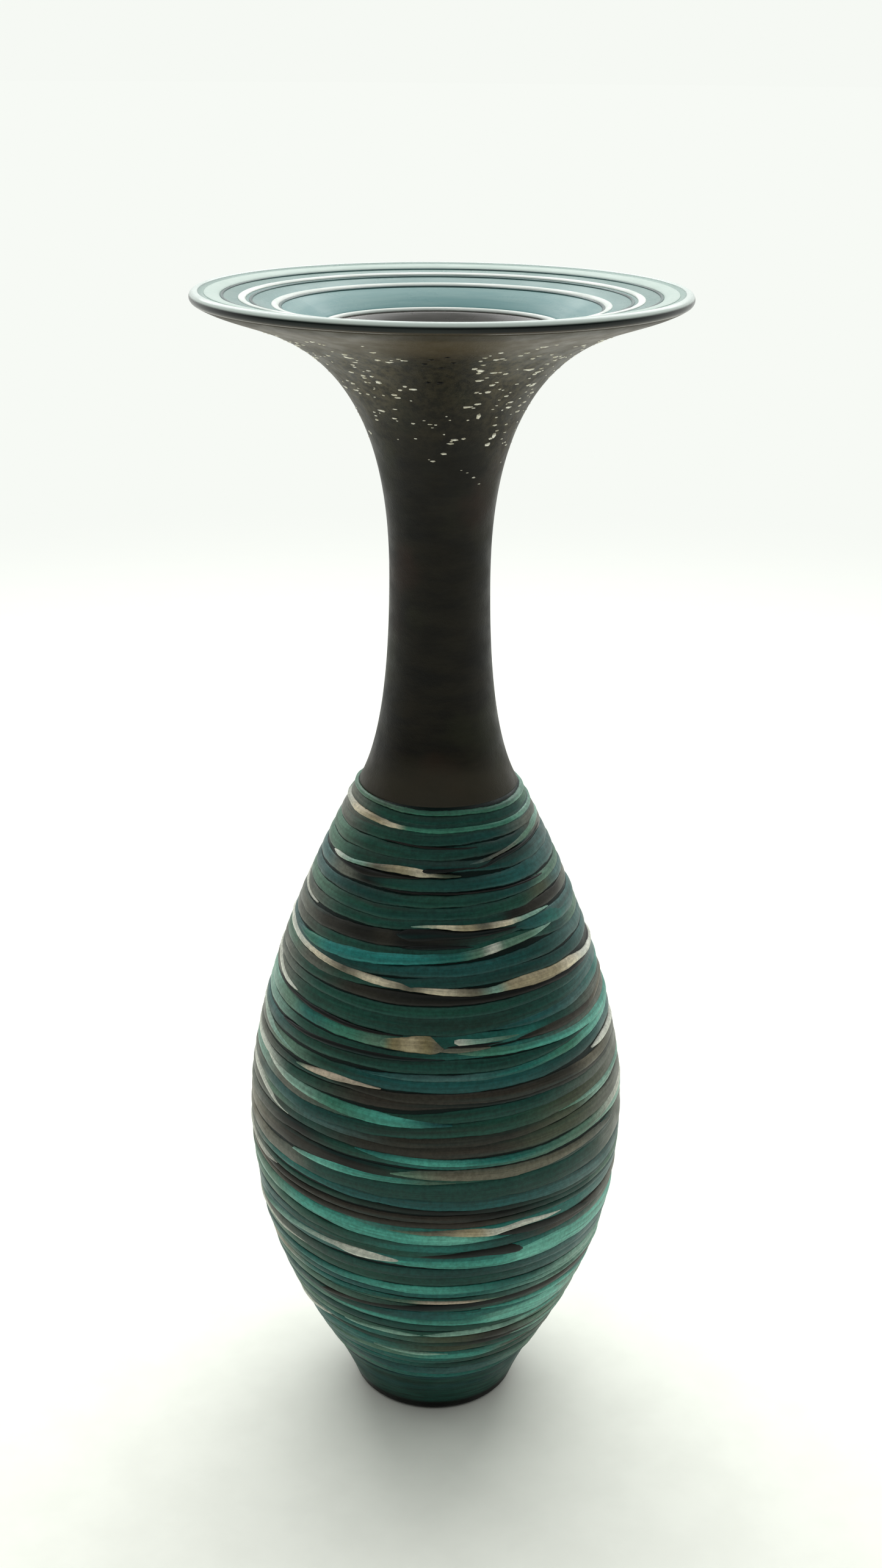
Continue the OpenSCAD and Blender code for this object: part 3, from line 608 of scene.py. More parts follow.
                (180, 146.4, 3.6)],
           [(-75, "grey"), (-45, "pine"), (0, "deep"), (45, "pine"), (60, "ink"), (80, "sage"), (180, "teal")], 0.45),
    thread(37, [(-72, 143.4, 0.4), (-62, 143.2, 1.6), (-50, 143.3, 2.5), (-40, 143.7, 2.9), (-20, 144.7, 2.7), (0, 145.6, 2.3),
                (15, 146.4, 2.1), (25, 147.1, 2.1), (35, 147.6, 1.9), (45, 148.0, 1.3), (54, 148.4, 0.4)],
           [(-72, "steel"), (-58, "jade"), (-45, "lagoon"), (-10, "lagoon"), (8, "teal"), (17, "sage"), (23, "pearl"),
            (28, "sage"), (40, "sage"), (50, "mist")], 0.85),
    thread(38, [(-75, 148.6, 3.8), (-40, 149.0, 3.8), (-20, 149.5, 4.2), (0, 149.6, 4.0), (20, 150.0, 3.4), (38, 150.6, 2.6),
                (60, 150.4, 3.4), (80, 150.0, 3.4), (180, 149.8, 3.8)],
           [(-75, "grey"), (-52, "brown"), (-30, "soot"), (-22, "brown"), (-14, "black"), (0, "soot"), (30, "deep"),
            (40, "blue"), (60, "steel"), (80, "steel"), (180, "brown")]),
    thread(38, [(-17, 150.5, 0.4), (-11, 150.6, 3.0), (0, 150.9, 2.4), (12, 150.7, 1.5), (25, 150.6, 1.1), (39, 150.4, 0.3)],
           [(-17, "black")], 0.8),
    # Painted shadow line: a thin black strand in the groove under a trail.
    thread(38, [(-14, 147.6, 0.3), (-6, 148.0, 1.3), (5, 148.2, 0.9), (15, 148.0, 0.3)], [(-14, "black")], 0.8),
    thread(38, [(34, 150.4, 0.4), (42, 150.2, 2.8), (52, 150.0, 3.4), (64, 149.6, 3.6), (78, 149.2, 3.4), (110, 149.6, 0.5)],
           [(34, "ink"), (42, "blue"), (58, "teal"), (75, "steel")], 0.75),
    thread(39, [(-75, 152.6, 2.8), (-30, 152.6, 2.8), (0, 153.2, 2.4), (35, 153.6, 2.4), (60, 153.9, 2.8), (80, 153.8, 2.8),
                (180, 153.0, 2.8)],
           [(-75, "grey"), (-42, "pine"), (0, "deep"), (26, "deep"), (35, "soot"), (48, "brown"), (68, "brown"),
            (80, "grey"), (180, "deep")], 0.5),
    thread(39, [(-11, 152.5, 0.3), (-4, 152.7, 0.8), (3, 152.7, 1.0), (8, 152.5, 1.4), (15, 152.3, 1.6), (24, 152.1, 1.5),
                (32, 151.9, 1.3), (40, 152.0, 1.0), (48, 152.2, 0.8), (56, 152.1, 0.3)],
           [(-11, "mist"), (4, "cream"), (12, "gold"), (20, "taupe"), (30, "cream"), (40, "mist")], 0.9),
    # Painted reflection: this short pearl strand at the far left is the bright room reflected on the thread tops at the
    # grazing edge.
    thread(39, [(-96, 153.6, 0.3), (-80, 151.9, 1.2), (-70, 151.2, 0.7), (-63, 151.0, 0.3)], [(-96, "pearl")], 0.8),
    thread(40, [(-75, 155.4, 3.4), (-30, 155.2, 3.4), (0, 155.4, 3.4), (40, 156.0, 3.4), (60, 156.8, 3.2), (180, 155.8, 3.8)],
           [(-75, "sage"), (-40, "pine"), (0, "deep"), (38, "pine"), (56, "olive"), (75, "steel"), (180, "deep")]),
    thread(40, [(-75, 158.2, 2.8), (-30, 158.2, 3.2), (0, 158.2, 3.2), (60, 158.8, 2.4), (180, 158.6, 3.2)],
           [(-75, "steel"), (-40, "ink"), (0, "pine"), (45, "ink"), (60, "sage"), (180, "pine")], 0.5),
    thread(41, [(-75, 161.4, 3.2), (-30, 161.6, 3.4), (0, 161.8, 3.4), (40, 162.0, 4.0), (70, 162.4, 4.2), (180, 161.8, 4.4)],
           [(-75, "steel"), (-52, "grey"), (-36, "soot"), (-20, "pine"), (10, "ink"), (45, "blue"), (75, "steel"),
            (180, "blue")]),
    # Painted shadow line: a thin black strand in the groove under a trail.
    thread(41, [(-66, 163.2, 0.3), (-50, 162.8, 1.1), (-38, 162.6, 1.8), (-25, 163.0, 1.1), (-9, 163.4, 0.3)],
           [(-66, "soot"), (-45, "black"), (-30, "soot")], 0.7),
    # Painted shadow line: a thin black strand in the groove under a trail.
    thread(41, [(-36, 161.0, 0.3), (-20, 160.2, 0.7), (0, 160.1, 0.7), (30, 159.8, 0.6), (58, 159.4, 0.8), (67, 159.2, 0.3)],
           [(-36, "black")], 0.62),
    thread(42, [(-75, 165.4, 3.4), (-30, 166.0, 3.4), (0, 166.2, 3.0), (40, 165.4, 3.4), (75, 166.0, 4.0), (180, 165.6, 4.2)],
           [(-75, "sage"), (-45, "pine"), (0, "ink"), (40, "ink"), (75, "steel"), (180, "pine")], 0.5),
    thread(42, [(-67, 163.9, 0.3), (-60, 163.8, 1.1), (-50, 163.8, 1.0), (-40, 164.2, 1.1), (-30, 164.6, 1.5),
                (-20, 164.9, 1.9), (-10, 164.7, 2.0), (-3, 164.3, 1.1), (4, 164.0, 0.9), (12, 163.8, 0.3)],
           [(-67, "pearl"), (-45, "mist"), (-32, "taupe"), (-18, "gold"), (-8, "cream"), (4, "olive")], 0.9),
    # Painted shadow line: a thin black strand in the groove under a trail.
    thread(42, [(-8, 165.0, 0.4), (-5, 165.0, 1.2), (0, 165.1, 1.0), (8, 165.3, 0.8), (14, 165.4, 0.6), (21, 165.3, 0.3)],
           [(-8, "black")], 0.95),
    # Painted shadow line: a thin black strand in the groove under a trail.
    thread(42, [(13, 165.2, 0.3), (25, 165.4, 0.9), (35, 166.6, 1.1), (45, 167.2, 0.9), (60, 168.0, 0.8), (78, 168.9, 0.8),
                (96, 168.6, 0.3)], [(13, "black"), (60, "soot")], 0.7),
    thread(42, [(11, 166.0, 0.3), (25, 166.6, 0.7), (38, 167.8, 0.9), (50, 168.8, 1.3), (65, 169.8, 1.7), (80, 170.6, 1.6),
                (110, 170.4, 0.4)], [(11, "steel"), (36, "grey"), (60, "sage"), (80, "mist")], 0.75),
    thread(43, [(-75, 168.8, 3.8), (-30, 168.8, 3.6), (0, 168.8, 3.4), (40, 169.2, 3.6), (75, 169.6, 3.8), (180, 168.8, 4.2)],
           [(-75, "sage"), (-40, "pine"), (0, "deep"), (50, "ink"), (75, "grey"), (180, "deep")]),
    thread(43, [(-75, 171.8, 3.2), (-30, 171.9, 3.0), (0, 171.8, 3.0), (60, 172.2, 2.8), (180, 171.9, 3.2)],
           [(-75, "grey"), (-40, "pine"), (0, "deep"), (30, "ink"), (75, "grey"), (180, "ink")], 0.5),
    # Painted shadow line: a thin black strand in the groove under a trail.
    thread(43, [(-37, 171.0, 0.3), (-25, 170.8, 0.7), (0, 170.2, 0.7), (18, 169.7, 0.6), (35, 169.5, 0.3)],
           [(-37, "black")], 0.62),
    thread(44, [(180, 174.2, 3.4)], [(-75, "grey"), (-30, "deep"), (40, "deep"), (75, "steel"), (180, "deep")], 0.4),
    thread(44, [(-100, 175.1, 1.0), (-75, 175.0, 1.4), (-60, 174.8, 1.6), (-40, 174.5, 1.5), (-28, 174.2, 1.3), (-18, 174.1, 1.0),
                (0, 173.9, 1.1), (40, 173.8, 1.2), (75, 174.0, 1.3), (180, 174.6, 1.2)],
           [(-110, "sage"), (-82, "pearl"), (-60, "cream"), (-42, "gold"), (-28, "cream"), (-18, "jade"), (45, "jade"),
            (75, "mist"), (130, "jade")], 0.85),
    thread(45, [(-75, 176.8, 2.6), (0, 176.0, 2.6), (75, 175.8, 2.6), (180, 176.2, 2.6)],
           [(-75, "grey"), (-35, "pine"), (0, "deep"), (60, "deep"), (78, "sage"), (180, "deep")], 0.4),
    thread(45, [(-75, 178.4, 1.1), (-40, 178.2, 1.1), (-20, 177.9, 1.1), (0, 177.7, 1.1), (40, 177.4, 1.2), (75, 177.4, 1.4),
                (180, 178.0, 1.2)],
           [(-75, "sage"), (-40, "sage"), (-10, "jade"), (40, "jade"), (75, "mist"), (180, "jade")], 0.7),
]
print(len(THREADS), "threads laid out up to the colour line")

# %% [markdown]
# ## Strands on the far side
# Only the front of the vase is known, so the strands behind are laid by chance in the same manner: some trails get one
# or two, of the same few tints, thin at both ends.

# %% Lay strands behind by chance
chance = random.Random(5)
BEHIND = ["sea", "foam", "mist", "pearl", "cream", "gold", "black", "soot", "sage", "blue", "jade", "lagoon", "taupe"]
full = {one.node: one.path[-1][1] for one in THREADS if one.path[-1][0] == 180}
for node, height in full.items():
    for side in (-1, 1):
        if chance.random() < 0.25 or node in ("trail_01", "trail_45"):
            continue
        middle = 180 + side * chance.uniform(10, 62)
        half = chance.uniform(12, 34)
        level = height + chance.uniform(-0.6, 0.6)
        tilt = chance.uniform(-0.9, 0.9)
        wide = chance.choice([1.1, 1.3, 1.6, 2.4])
        path = [(middle - half, level - tilt, 0.3), (middle - half / 2, level - tilt / 2, 0.7 * wide),
                (middle, level, wide), (middle + half / 2, level + tilt / 2, 0.8 * wide),
                (middle + half, level + tilt, 0.3)]
        first, second = chance.sample(BEHIND, 2)
        THREADS.append(Thread(node, path, [(middle - half, first), (middle + half, second)], 0.75 * MM))
print(len(THREADS), "threads with those behind")

# %% [markdown]
# ## How a path is read
# Glass bends softly, so a path is read as a smooth line through its listed places: a cubic stretch whose slope at each
# place follows its two neighbours. A full ring repeats its places a turn before and after, so that it closes.

# %% Smooth reading of a path
TURN = 360


def is_ring(path):
    return path[-1][0] == 180


def around(stops):
    """Stops of a full ring, repeated a turn before and a turn after."""
    return [(stop[0] + turn, *stop[1:]) for turn in (-TURN, 0, TURN) for stop in stops]


def flowing(value, stops, column):
    """Reads one column of a list of stops as a smooth line."""
    last = len(stops) - 1
    k = max(0, min(last - 1, sum(stop[0] <= value for stop in stops) - 1))
    if last == 0:
        return stops[0][column]
    before, a, b, after = (stops[max(0, min(last, i))] for i in (k - 1, k, k + 1, k + 2))
    span = b[0] - a[0]
    t = max(0.0, min(1.0, (value - a[0]) / span))
    slope_a = (b[column] - before[column]) / (b[0] - before[0]) * span
    slope_b = (after[column] - a[column]) / (after[0] - a[0]) * span
    rise = b[column] - a[column]
    return (a[column] + t * slope_a + t * t * (3 * rise - 2 * slope_a - slope_b)
            + t ** 3 * (slope_a + slope_b - 2 * rise))


def tint_at(azimuth, tints):
    """The colour of a thread at an azimuth, in straight steps from one listed tint to the next."""
    for a, b in zip(tints, tints[1:]):
        if azimuth <= b[0]:
            share = max(0.0, (azimuth - a[0]) / (b[0] - a[0]))
            share = share * share * (3 - 2 * share)
            return Vector(TINTS[a[1]]).lerp(Vector(TINTS[b[1]]), share)
    return Vector(TINTS[tints[-1][1]])


# %% [markdown]
# ## Points on the skin
# A thread lies on the skin, so its points are found by walking along the outline: up to the height of its middle, some
# way across, and then out from the glass. The walk uses the length of the outline from the foot.

# %% Walk along the skin
from bisect import bisect_right
from itertools import accumulate

HEIGHTS = [p.y for p in outline]
WALKED = [0.0] + list(accumulate((b - a).length for a, b in zip(outline, outline[1:])))


def share_of(value, line):
    """Where a value falls on a rising list: the step, and the share of that step."""
    k = max(0, min(len(line) - 2, bisect_right(line, value) - 1))
    return k, (value - line[k]) / (line[k + 1] - line[k])


def walked_to(height):
    k, share = share_of(height, HEIGHTS)
    return WALKED[k] + share * (WALKED[k + 1] - WALKED[k])


def off_skin(walked, lift):
    """The point (radius, height) at a walked length along the outline, lifted off the skin."""
    k, share = share_of(walked, WALKED)
    return outline[k].lerp(outline[k + 1], share) + lift * NORMALS[k].lerp(NORMALS[k + 1], share)


print("length of the outline", round(WALKED[-1], 4))

# %% [markdown]
# ## Winding a thread
# A thread is spun as a plain ring of unit section, and each of its points is then moved onto the vase. Its section is a
# low lens: nearly flat on top, steeper on the lower side where the hot glass sagged, and sunk a little into the skin.
# Slow noise shared by all the threads makes them wander together, as they do when the blowpipe wobbles.

# %% Wind the threads
draw = random.Random(11)
FAR = 10.0
SUNK = 0.3
STEP = 1.5
MELTED = 1.25
CROWN = [(-1, 0.0), (-0.72, 0.55), (-0.45, 1.0), (0.82, 1.0), (1, 0.35)]
LENS = [(-1.0, 0.0), (-0.93, 0.42), (-0.8, 0.72), (-0.6, 0.92), (-0.3, 1.0), (0.05, 0.97), (0.4, 0.84), (0.7, 0.6),
        (0.9, 0.3), (1.0, 0.0), (0.5, -1.0), (-0.5, -1.0)]


def wander(azimuth, height, scale, seed):
    """Slow noise round the vase, from -1 to 1, without a jump at the back."""
    turn = math.radians(azimuth)
    return noise.noise(Vector((math.sin(turn) * scale, math.cos(turn) * scale, height * scale / 40 + seed)))


Course = namedtuple("Course", "walked width lift ragged tint sine cosine")


def course_at(azimuth, path, tints, lift, seed):
    """What a thread does at one azimuth: its place, width, rise above the skin and colour."""
    turn = math.radians(azimuth)
    level = flowing(azimuth, path, 1)
    height = level + 0.35 * wander(azimuth, level, 2.2, 0)
    spread = MELTED if lift > 0.65 * MM else 1.0
    width = flowing(azimuth, path, 2) * spread * (1 + 0.16 * wander(azimuth, height, 6.0, seed))
    lift = lift * min(1.0, math.sqrt(width / 1.3)) * (1 + 0.25 * wander(azimuth, height, 5.0, seed + 50))
    ragged = 0.12 * wander(azimuth, height, 40.0, seed)
    return Course(walked_to(height * MM), width, lift, ragged, tint_at(azimuth, tints), math.sin(turn), math.cos(turn))


def wind(one, seed):
    """One thread as a mesh, with its tint, flow and crown."""
    ring = is_ring(one.path)
    start, end = (-180, 180) if ring else (one.path[0][0], one.path[-1][0])
    path = around(one.path) if ring else one.path
    tints = around(one.tints) if ring else one.tints
    steps = max(8, round((end - start) / STEP))
    bm = bmesh.new()
    kinds = bm.verts.layers
    tint, flow, crown = kinds.float_color.new("tint"), kinds.float_vector.new("flow"), kinds.float.new("crown")
    verts = [bm.verts.new((FAR + 0.5 * rise, 0, across)) for across, rise in LENS]
    edges = [bm.edges.new(pair) for pair in zip(verts, verts[1:] + verts[:1])]
    bmesh.ops.spin(bm, geom=verts + edges, cent=(0, 0, 0), axis=(0, 0, 1), angle=math.radians(end - start),
                   steps=steps, use_merge=ring)
    if not ring:
        bmesh.ops.holes_fill(bm, edges=[e for e in bm.edges if e.is_boundary], sides=0)
    offset = draw.uniform(0, 0.1)
    course = {}
    for v in bm.verts:
        azimuth = start + (math.degrees(math.atan2(v.co.y, v.co.x)) + 0.1) % TURN - 0.1
        across = v.co.z
        rise = (math.hypot(v.co.x, v.co.y) - FAR) / 0.5
        key = round(azimuth * 10)
        if key not in course:
            course[key] = course_at(azimuth, path, tints, one.lift, seed)
        here = course[key]
        ragged = here.ragged if abs(across) > 0.7 else 0
        lifted = here.lift * rise if rise >= 0 else SUNK * MM * rise
        place = off_skin(here.walked + (across / 2 * here.width + ragged) * MM, lifted)
        v.co = (place.x * here.sine, -place.x * here.cosine, place.y)
        v[tint] = here.tint
        v[flow] = (0.045 * here.sine + offset, 0.045 * here.cosine, across / 2 * here.width * MM + offset)
        v[crown] = between(across, CROWN)
    mesh = bpy.data.meshes.new("thread")
    bm.to_mesh(mesh)
    bm.free()
    return mesh


def wind_piece(number, threads):
    """All the glass of one trail as one piece, in the place of its CAD node."""
    node = f"trail_{number:02d}"
    bm = bmesh.new()
    for order, one in enumerate(threads):
        mesh = wind(one, 3.7 * number + order)
        bm.from_mesh(mesh)
        bpy.data.meshes.remove(mesh)
    return finish_piece(bm, f"wound_{number:02d}", trail_glass, [node])


for number in range(1, 46):
    wind_piece(number, [one for one in THREADS if one.node == f"trail_{number:02d}"])

# %% [markdown]
# ## The dark skin under the threads
# Under the trails lies the overlay, a skin of dark teal glass 1.2 mm thick. It shows only as thin lines where two
# trails don't quite meet. It is a closed shell: up the outside, and back down its seam with the lining.

# %% Skin and foot finish
skin_glass, tree, place = new_finish("dark teal glass")
pulls = use_group(tree, streak_tree, {"Vector": place, "Along": 60.0, "Across": 900.0})
satin = use_group(tree, satin_tree, {"Vector": place, "Scale": 150.0})
teal = mixed(tree, ranged(tree, pulls.outputs["Streak"], 0.35, 0.65), screen(16, 48, 40), screen(32, 78, 68))
drifted = mixed(tree, ranged(tree, pulls.outputs["Drift"], 0.45, 0.65, 0.0, 0.5), teal, screen(24, 66, 72))
spot = put(tree, "ShaderNodeSeparateXYZ", {0: place}).outputs["Z"]
# Painted shade: the lowest few millimetres of the foot go nearly black, for the contact shadow and the shade under the
# rounded heel.
heel = ranged(tree, spot, 4.6 * MM, 3.0 * MM)
painted_heel_shade = mixed(tree, heel, drifted, screen(3, 6, 5))
above_foot = ranged(tree, spot, 16.2 * MM, 17.4 * MM)
skin_colour = mixed(tree, above_foot, painted_heel_shade, screen(14, 28, 26))
rough = ranged(tree, satin.outputs["Gloss"], 0.3, 0.7, 0.34, 0.5)
close_finish(tree, skin_colour, rough, maths(tree, "ADD", pulls.outputs["Streak"], satin.outputs["Grain"]),
             0.06 * MM, IOR=1.5, Specular_IOR_Level=0.1)

# %% Turn the skin and the foot
JOINT_GAP = 0.0
body = range(FOOT_TOP, JOINT_AT + 1)
bm = bmesh.new()
spin_section(bm, [skin(k) for k in body] + [seam(k) for k in reversed(body)])
finish_piece(bm, "dark_skin", skin_glass, ["body_overlay"])

PONTIL_RADIUS, PONTIL_DEPTH, FLOOR_OF_BOWL = 9 * MM, 1 * MM, 14 * MM
quarter = [math.radians(90 * k / 10) for k in range(11)]
pontil = [Vector((PONTIL_RADIUS * math.sin(a), PONTIL_DEPTH * math.cos(a))) for a in quarter]
heel_turns = [-math.pi / 2 + (math.pi / 2 - FOOT_LEAN) * k / 10 for k in range(11)]
heel_edge = [foot_edge + FOOT_EDGE * Vector((math.cos(a), math.sin(a))) for a in heel_turns]
bowl_edge = bore(FOOT_TOP)
bowl = [Vector((bowl_edge.x * math.cos(a), FLOOR_OF_BOWL + (bowl_edge.y - FLOOR_OF_BOWL) * (1 - math.sin(a))))
        for a in quarter]
bm = bmesh.new()
spin_section(bm, pontil + heel_edge + [skin(k) for k in range(1, FOOT_TOP + 1)] + bowl)
finish_piece(bm, "solid_foot", skin_glass, ["foot"])

# %% [markdown]
# ## The neck
# The neck was dipped in a metal-bearing glass and smoked, so it is a silky grey-brown that is nearly black down the
# middle of its height, with faint red and olive clouds. Towards the flare it turns lighter and mealy, where the powder
# thinned out, and its foot meets the colour line in a wavy brown-grey edge. On the flare a strip down the middle of the
# front keeps less powder and stays dark: that is painted shade, where the flare faces the dim front of the room. A
# darker band just under the rim is painted shade too.

# %% Neck finish
bronze_glass, tree, place = new_finish("smoked bronze glass")
spots = put(tree, "ShaderNodeSeparateXYZ", {0: place})
spot = spots.outputs["Z"]
pulls = use_group(tree, streak_tree, {"Vector": place, "Along": 70.0, "Across": 260.0})
satin = use_group(tree, satin_tree, {"Vector": place, "Scale": 190.0})
cloud = noisy(tree, place, 34.0, 3.0)
other_cloud = noisy(tree, put(tree, "ShaderNodeVectorMath", {0: place, 1: (0.3, 0.1, 0.7)}).outputs[0], 42.0, 3.0)
dark = mixed(tree, ranged(tree, pulls.outputs["Streak"], 0.3, 0.7), screen(12, 11, 7), screen(28, 25, 16))
reddish = mixed(tree, ranged(tree, cloud, 0.52, 0.68, 0.0, 0.6), dark, screen(44, 28, 20))
olive = mixed(tree, ranged(tree, other_cloud, 0.5, 0.68, 0.0, 0.55), reddish, screen(38, 40, 24))
mealy = noisy(tree, place, 620.0, 4.0, 0.7)
taupe = mixed(tree, ranged(tree, mealy, 0.35, 0.65), screen(34, 30, 19), screen(84, 76, 55))
wavy_height = maths(tree, "ADD", spot, maths(tree, "MULTIPLY", maths(tree, "SUBTRACT", cloud, 0.5), 40 * MM))
flare_share = ranged(tree, wavy_height, 256 * MM, 286 * MM)
# Painted shade: down the middle of the front the powder is held back, so the flare stays dark on the side that faces
# the dim front of the room.
beside = ranged(tree, maths(tree, "ABSOLUTE", spots.outputs["X"]), 7 * MM, 13 * MM, 0.25, 0.75)
powder_and_front_shade = maths(tree, "MAXIMUM", beside, ranged(tree, spots.outputs["Y"], -4 * MM, 4 * MM, 0.0, 0.75))
flared = mixed(tree, maths(tree, "MULTIPLY", flare_share, powder_and_front_shade), olive, taupe)
lip_band = mixed(tree, ranged(tree, spot, 289 * MM, 294 * MM, 0.0, 0.85), flared, screen(74, 64, 46))
# Painted shade: a darker band just under the overhang of the rim.
shade_under_rim = mixed(tree, ranged(tree, spot, 296 * MM, 297.2 * MM, 0.0, 0.5), lip_band, screen(30, 30, 25))
edge = maths(tree, "ADD", spot, maths(tree, "MULTIPLY", maths(tree, "SUBTRACT", pulls.outputs["Drift"], 0.5), 14 * MM))
hem = mixed(tree, ranged(tree, edge, 190 * MM, 182 * MM, 0.0, 0.6), shade_under_rim, screen(62, 58, 48))
rough = ranged(tree, satin.outputs["Gloss"], 0.3, 0.7, 0.38, 0.52)
close_finish(tree, hem, rough, maths(tree, "ADD", mealy, satin.outputs["Grain"]), 0.05 * MM, IOR=1.5,
             Specular_IOR_Level=0.16)

# %% Turn the neck
LEAST = 0.04 * MM
upper = range(JOINT_AT, RIM_AT + 1)
bm = bmesh.new()
spin_section(bm, [skin(k) for k in upper] + [seam(k) for k in reversed(upper)])
finish_piece(bm, "smoked_neck", bronze_glass, ["neck_overlay"])

# %% [markdown]
# ## The lining
# Inside, the vase is a clear grey bubble: the body and neck below, and the pale aqua bowl of the lip above. The bowl
# is glossier than the outside. Its colour changes in rings as the wall turns over: nearly white at the rim, aqua on
# the lip, deeper where it falls into the throat. So its colour is read from the distance to the axis.

# %% Lining finishes
throat_glass, tree, place = new_finish("grey throat glass")
pulls = use_group(tree, streak_tree, {"Vector": place, "Along": 40.0, "Across": 700.0})
satin = use_group(tree, satin_tree, {"Vector": place, "Scale": 120.0})
grey = mixed(tree, ranged(tree, pulls.outputs["Streak"], 0.3, 0.7), screen(58, 56, 52), screen(84, 82, 77))
tinted = mixed(tree, ranged(tree, pulls.outputs["Drift"], 0.5, 0.7, 0.0, 0.6), grey, screen(84, 96, 98))
rough = ranged(tree, satin.outputs["Gloss"], 0.3, 0.7, 0.22, 0.36)
close_finish(tree, tinted, rough, pulls.outputs["Streak"], 0.05 * MM, IOR=1.5)

aqua_glass, tree, place = new_finish("pale aqua glass")
flat = put(tree, "ShaderNodeVectorMath", {0: place, 1: (1, 1, 0)}, operation="MULTIPLY").outputs[0]
radius = put(tree, "ShaderNodeVectorMath", {0: flat}, operation="LENGTH").outputs["Value"]
pulls = use_group(tree, streak_tree, {"Vector": place, "Along": 30.0, "Across": 600.0})
satin = use_group(tree, satin_tree, {"Vector": place, "Scale": 110.0})
shift = maths(tree, "MULTIPLY", maths(tree, "SUBTRACT", pulls.outputs["Drift"], 0.5), 3 * MM)
ring_place = maths(tree, "DIVIDE", maths(tree, "ADD", radius, shift), RIM_RADIUS)
ramp = put(tree, "ShaderNodeValToRGB", {0: ring_place})
RINGS = [(0.42, (78, 104, 104)), (0.48, (98, 136, 137)), (0.60, (108, 145, 145)), (0.67, (114, 144, 142)),
         (0.78, (112, 138, 134)), (0.84, (114, 140, 135)), (0.88, (122, 146, 140)), (0.95, (140, 162, 154)),
         (0.99, (104, 122, 118))]
ramp.color_ramp.elements[0].position = RINGS[0][0]
ramp.color_ramp.elements[0].color = screen(*RINGS[0][1])
ramp.color_ramp.elements[1].position = RINGS[-1][0]
ramp.color_ramp.elements[1].color = screen(*RINGS[-1][1])
for at, tone in RINGS[1:-1]:
    ramp.color_ramp.elements.new(at).color = screen(*tone)
streaked = mixed(tree, ranged(tree, pulls.outputs["Streak"], 0.4, 0.7, 0.0, 0.3), ramp.outputs[0], screen(156, 178, 173))
rough = ranged(tree, satin.outputs["Gloss"], 0.3, 0.7, 0.2, 0.32)
close_finish(tree, streaked, rough, pulls.outputs["Streak"], 0.05 * MM, IOR=1.5, Specular_IOR_Level=0.04)

# %% Turn the lining
SHADE = 0.0
bm = bmesh.new()
spin_section(bm, [seam(k) for k in body] + [bore(k) for k in reversed(body)])
finish_piece(bm, "grey_bubble", throat_glass, ["body_core"])

neck_range = range(JOINT_AT, THROAT_AT + 1)
bm = bmesh.new()
spin_section(bm, [seam(k) for k in neck_range] + [bore(k) for k in reversed(neck_range)])
finish_piece(bm, "grey_throat", throat_glass, ["neck_core"])

lip_range = range(THROAT_AT, RIM_AT + 1)
bm = bmesh.new()
spin_section(bm, [seam(k) for k in lip_range] + [bore(k) for k in reversed(lip_range)])
finish_piece(bm, "aqua_lip", aqua_glass, ["lip_core"])

# %% [markdown]
# ## The rim and the rings of the lip
# The rim was closed with a wrap of nearly black glass, melted round. Its top is painted pale, a painted highlight along
# the rim. Three white threads lie inside the lip, each with a thin dark line beside it, and a finer one marks the
# throat. All four are low lenses laid along the bore.

# %% Rim and ring finishes
rim_glass, tree, place = new_finish("black rim glass")
pulls = use_group(tree, streak_tree, {"Vector": place, "Along": 30.0, "Across": 500.0})
satin = use_group(tree, satin_tree, {"Vector": place, "Scale": 100.0})
spot = put(tree, "ShaderNodeSeparateXYZ", {0: place}).outputs["Z"]
dark_rim = mixed(tree, ranged(tree, pulls.outputs["Streak"], 0.35, 0.7), screen(8, 14, 13), screen(26, 34, 32))
browned = mixed(tree, ranged(tree, spot, RIM_TOP - 1.9 * MM, RIM_TOP - 2.5 * MM), dark_rim, screen(70, 62, 50))
# Painted highlight: the top of the rim wrap is pale.
painted_rim_highlight = mixed(tree, ranged(tree, spot, RIM_TOP - 1.1 * MM, RIM_TOP - 0.6 * MM), browned, screen(196, 208, 202))
rough = ranged(tree, satin.outputs["Gloss"], 0.3, 0.7, 0.14, 0.28)
close_finish(tree, painted_rim_highlight, rough, pulls.outputs["Streak"], 0.04 * MM, IOR=1.5, Specular_IOR_Level=0.25)

white_glass, tree, place = new_finish("white thread glass")
pulls = use_group(tree, streak_tree, {"Vector": place, "Along": 45.0, "Across": 900.0})
satin = use_group(tree, satin_tree, {"Vector": place, "Scale": 130.0})
whites = mixed(tree, ranged(tree, pulls.outputs["Streak"], 0.35, 0.65), screen(206, 214, 208), screen(240, 243, 238))
flat = put(tree, "ShaderNodeVectorMath", {0: place, 1: (1, 1, 0)}, operation="MULTIPLY").outputs[0]
radius = put(tree, "ShaderNodeVectorMath", {0: flat}, operation="LENGTH").outputs["Value"]
outer = ranged(tree, radius, RIM_RADIUS - 9 * MM, RIM_RADIUS - 7 * MM, 0.0, 0.92)
whites = mixed(tree, outer, whites, screen(178, 195, 187))
rough = ranged(tree, satin.outputs["Gloss"], 0.3, 0.7, 0.3, 0.45)
close_finish(tree, whites, rough, pulls.outputs["Streak"], 0.04 * MM, IOR=1.5, Specular_IOR_Level=0.05)

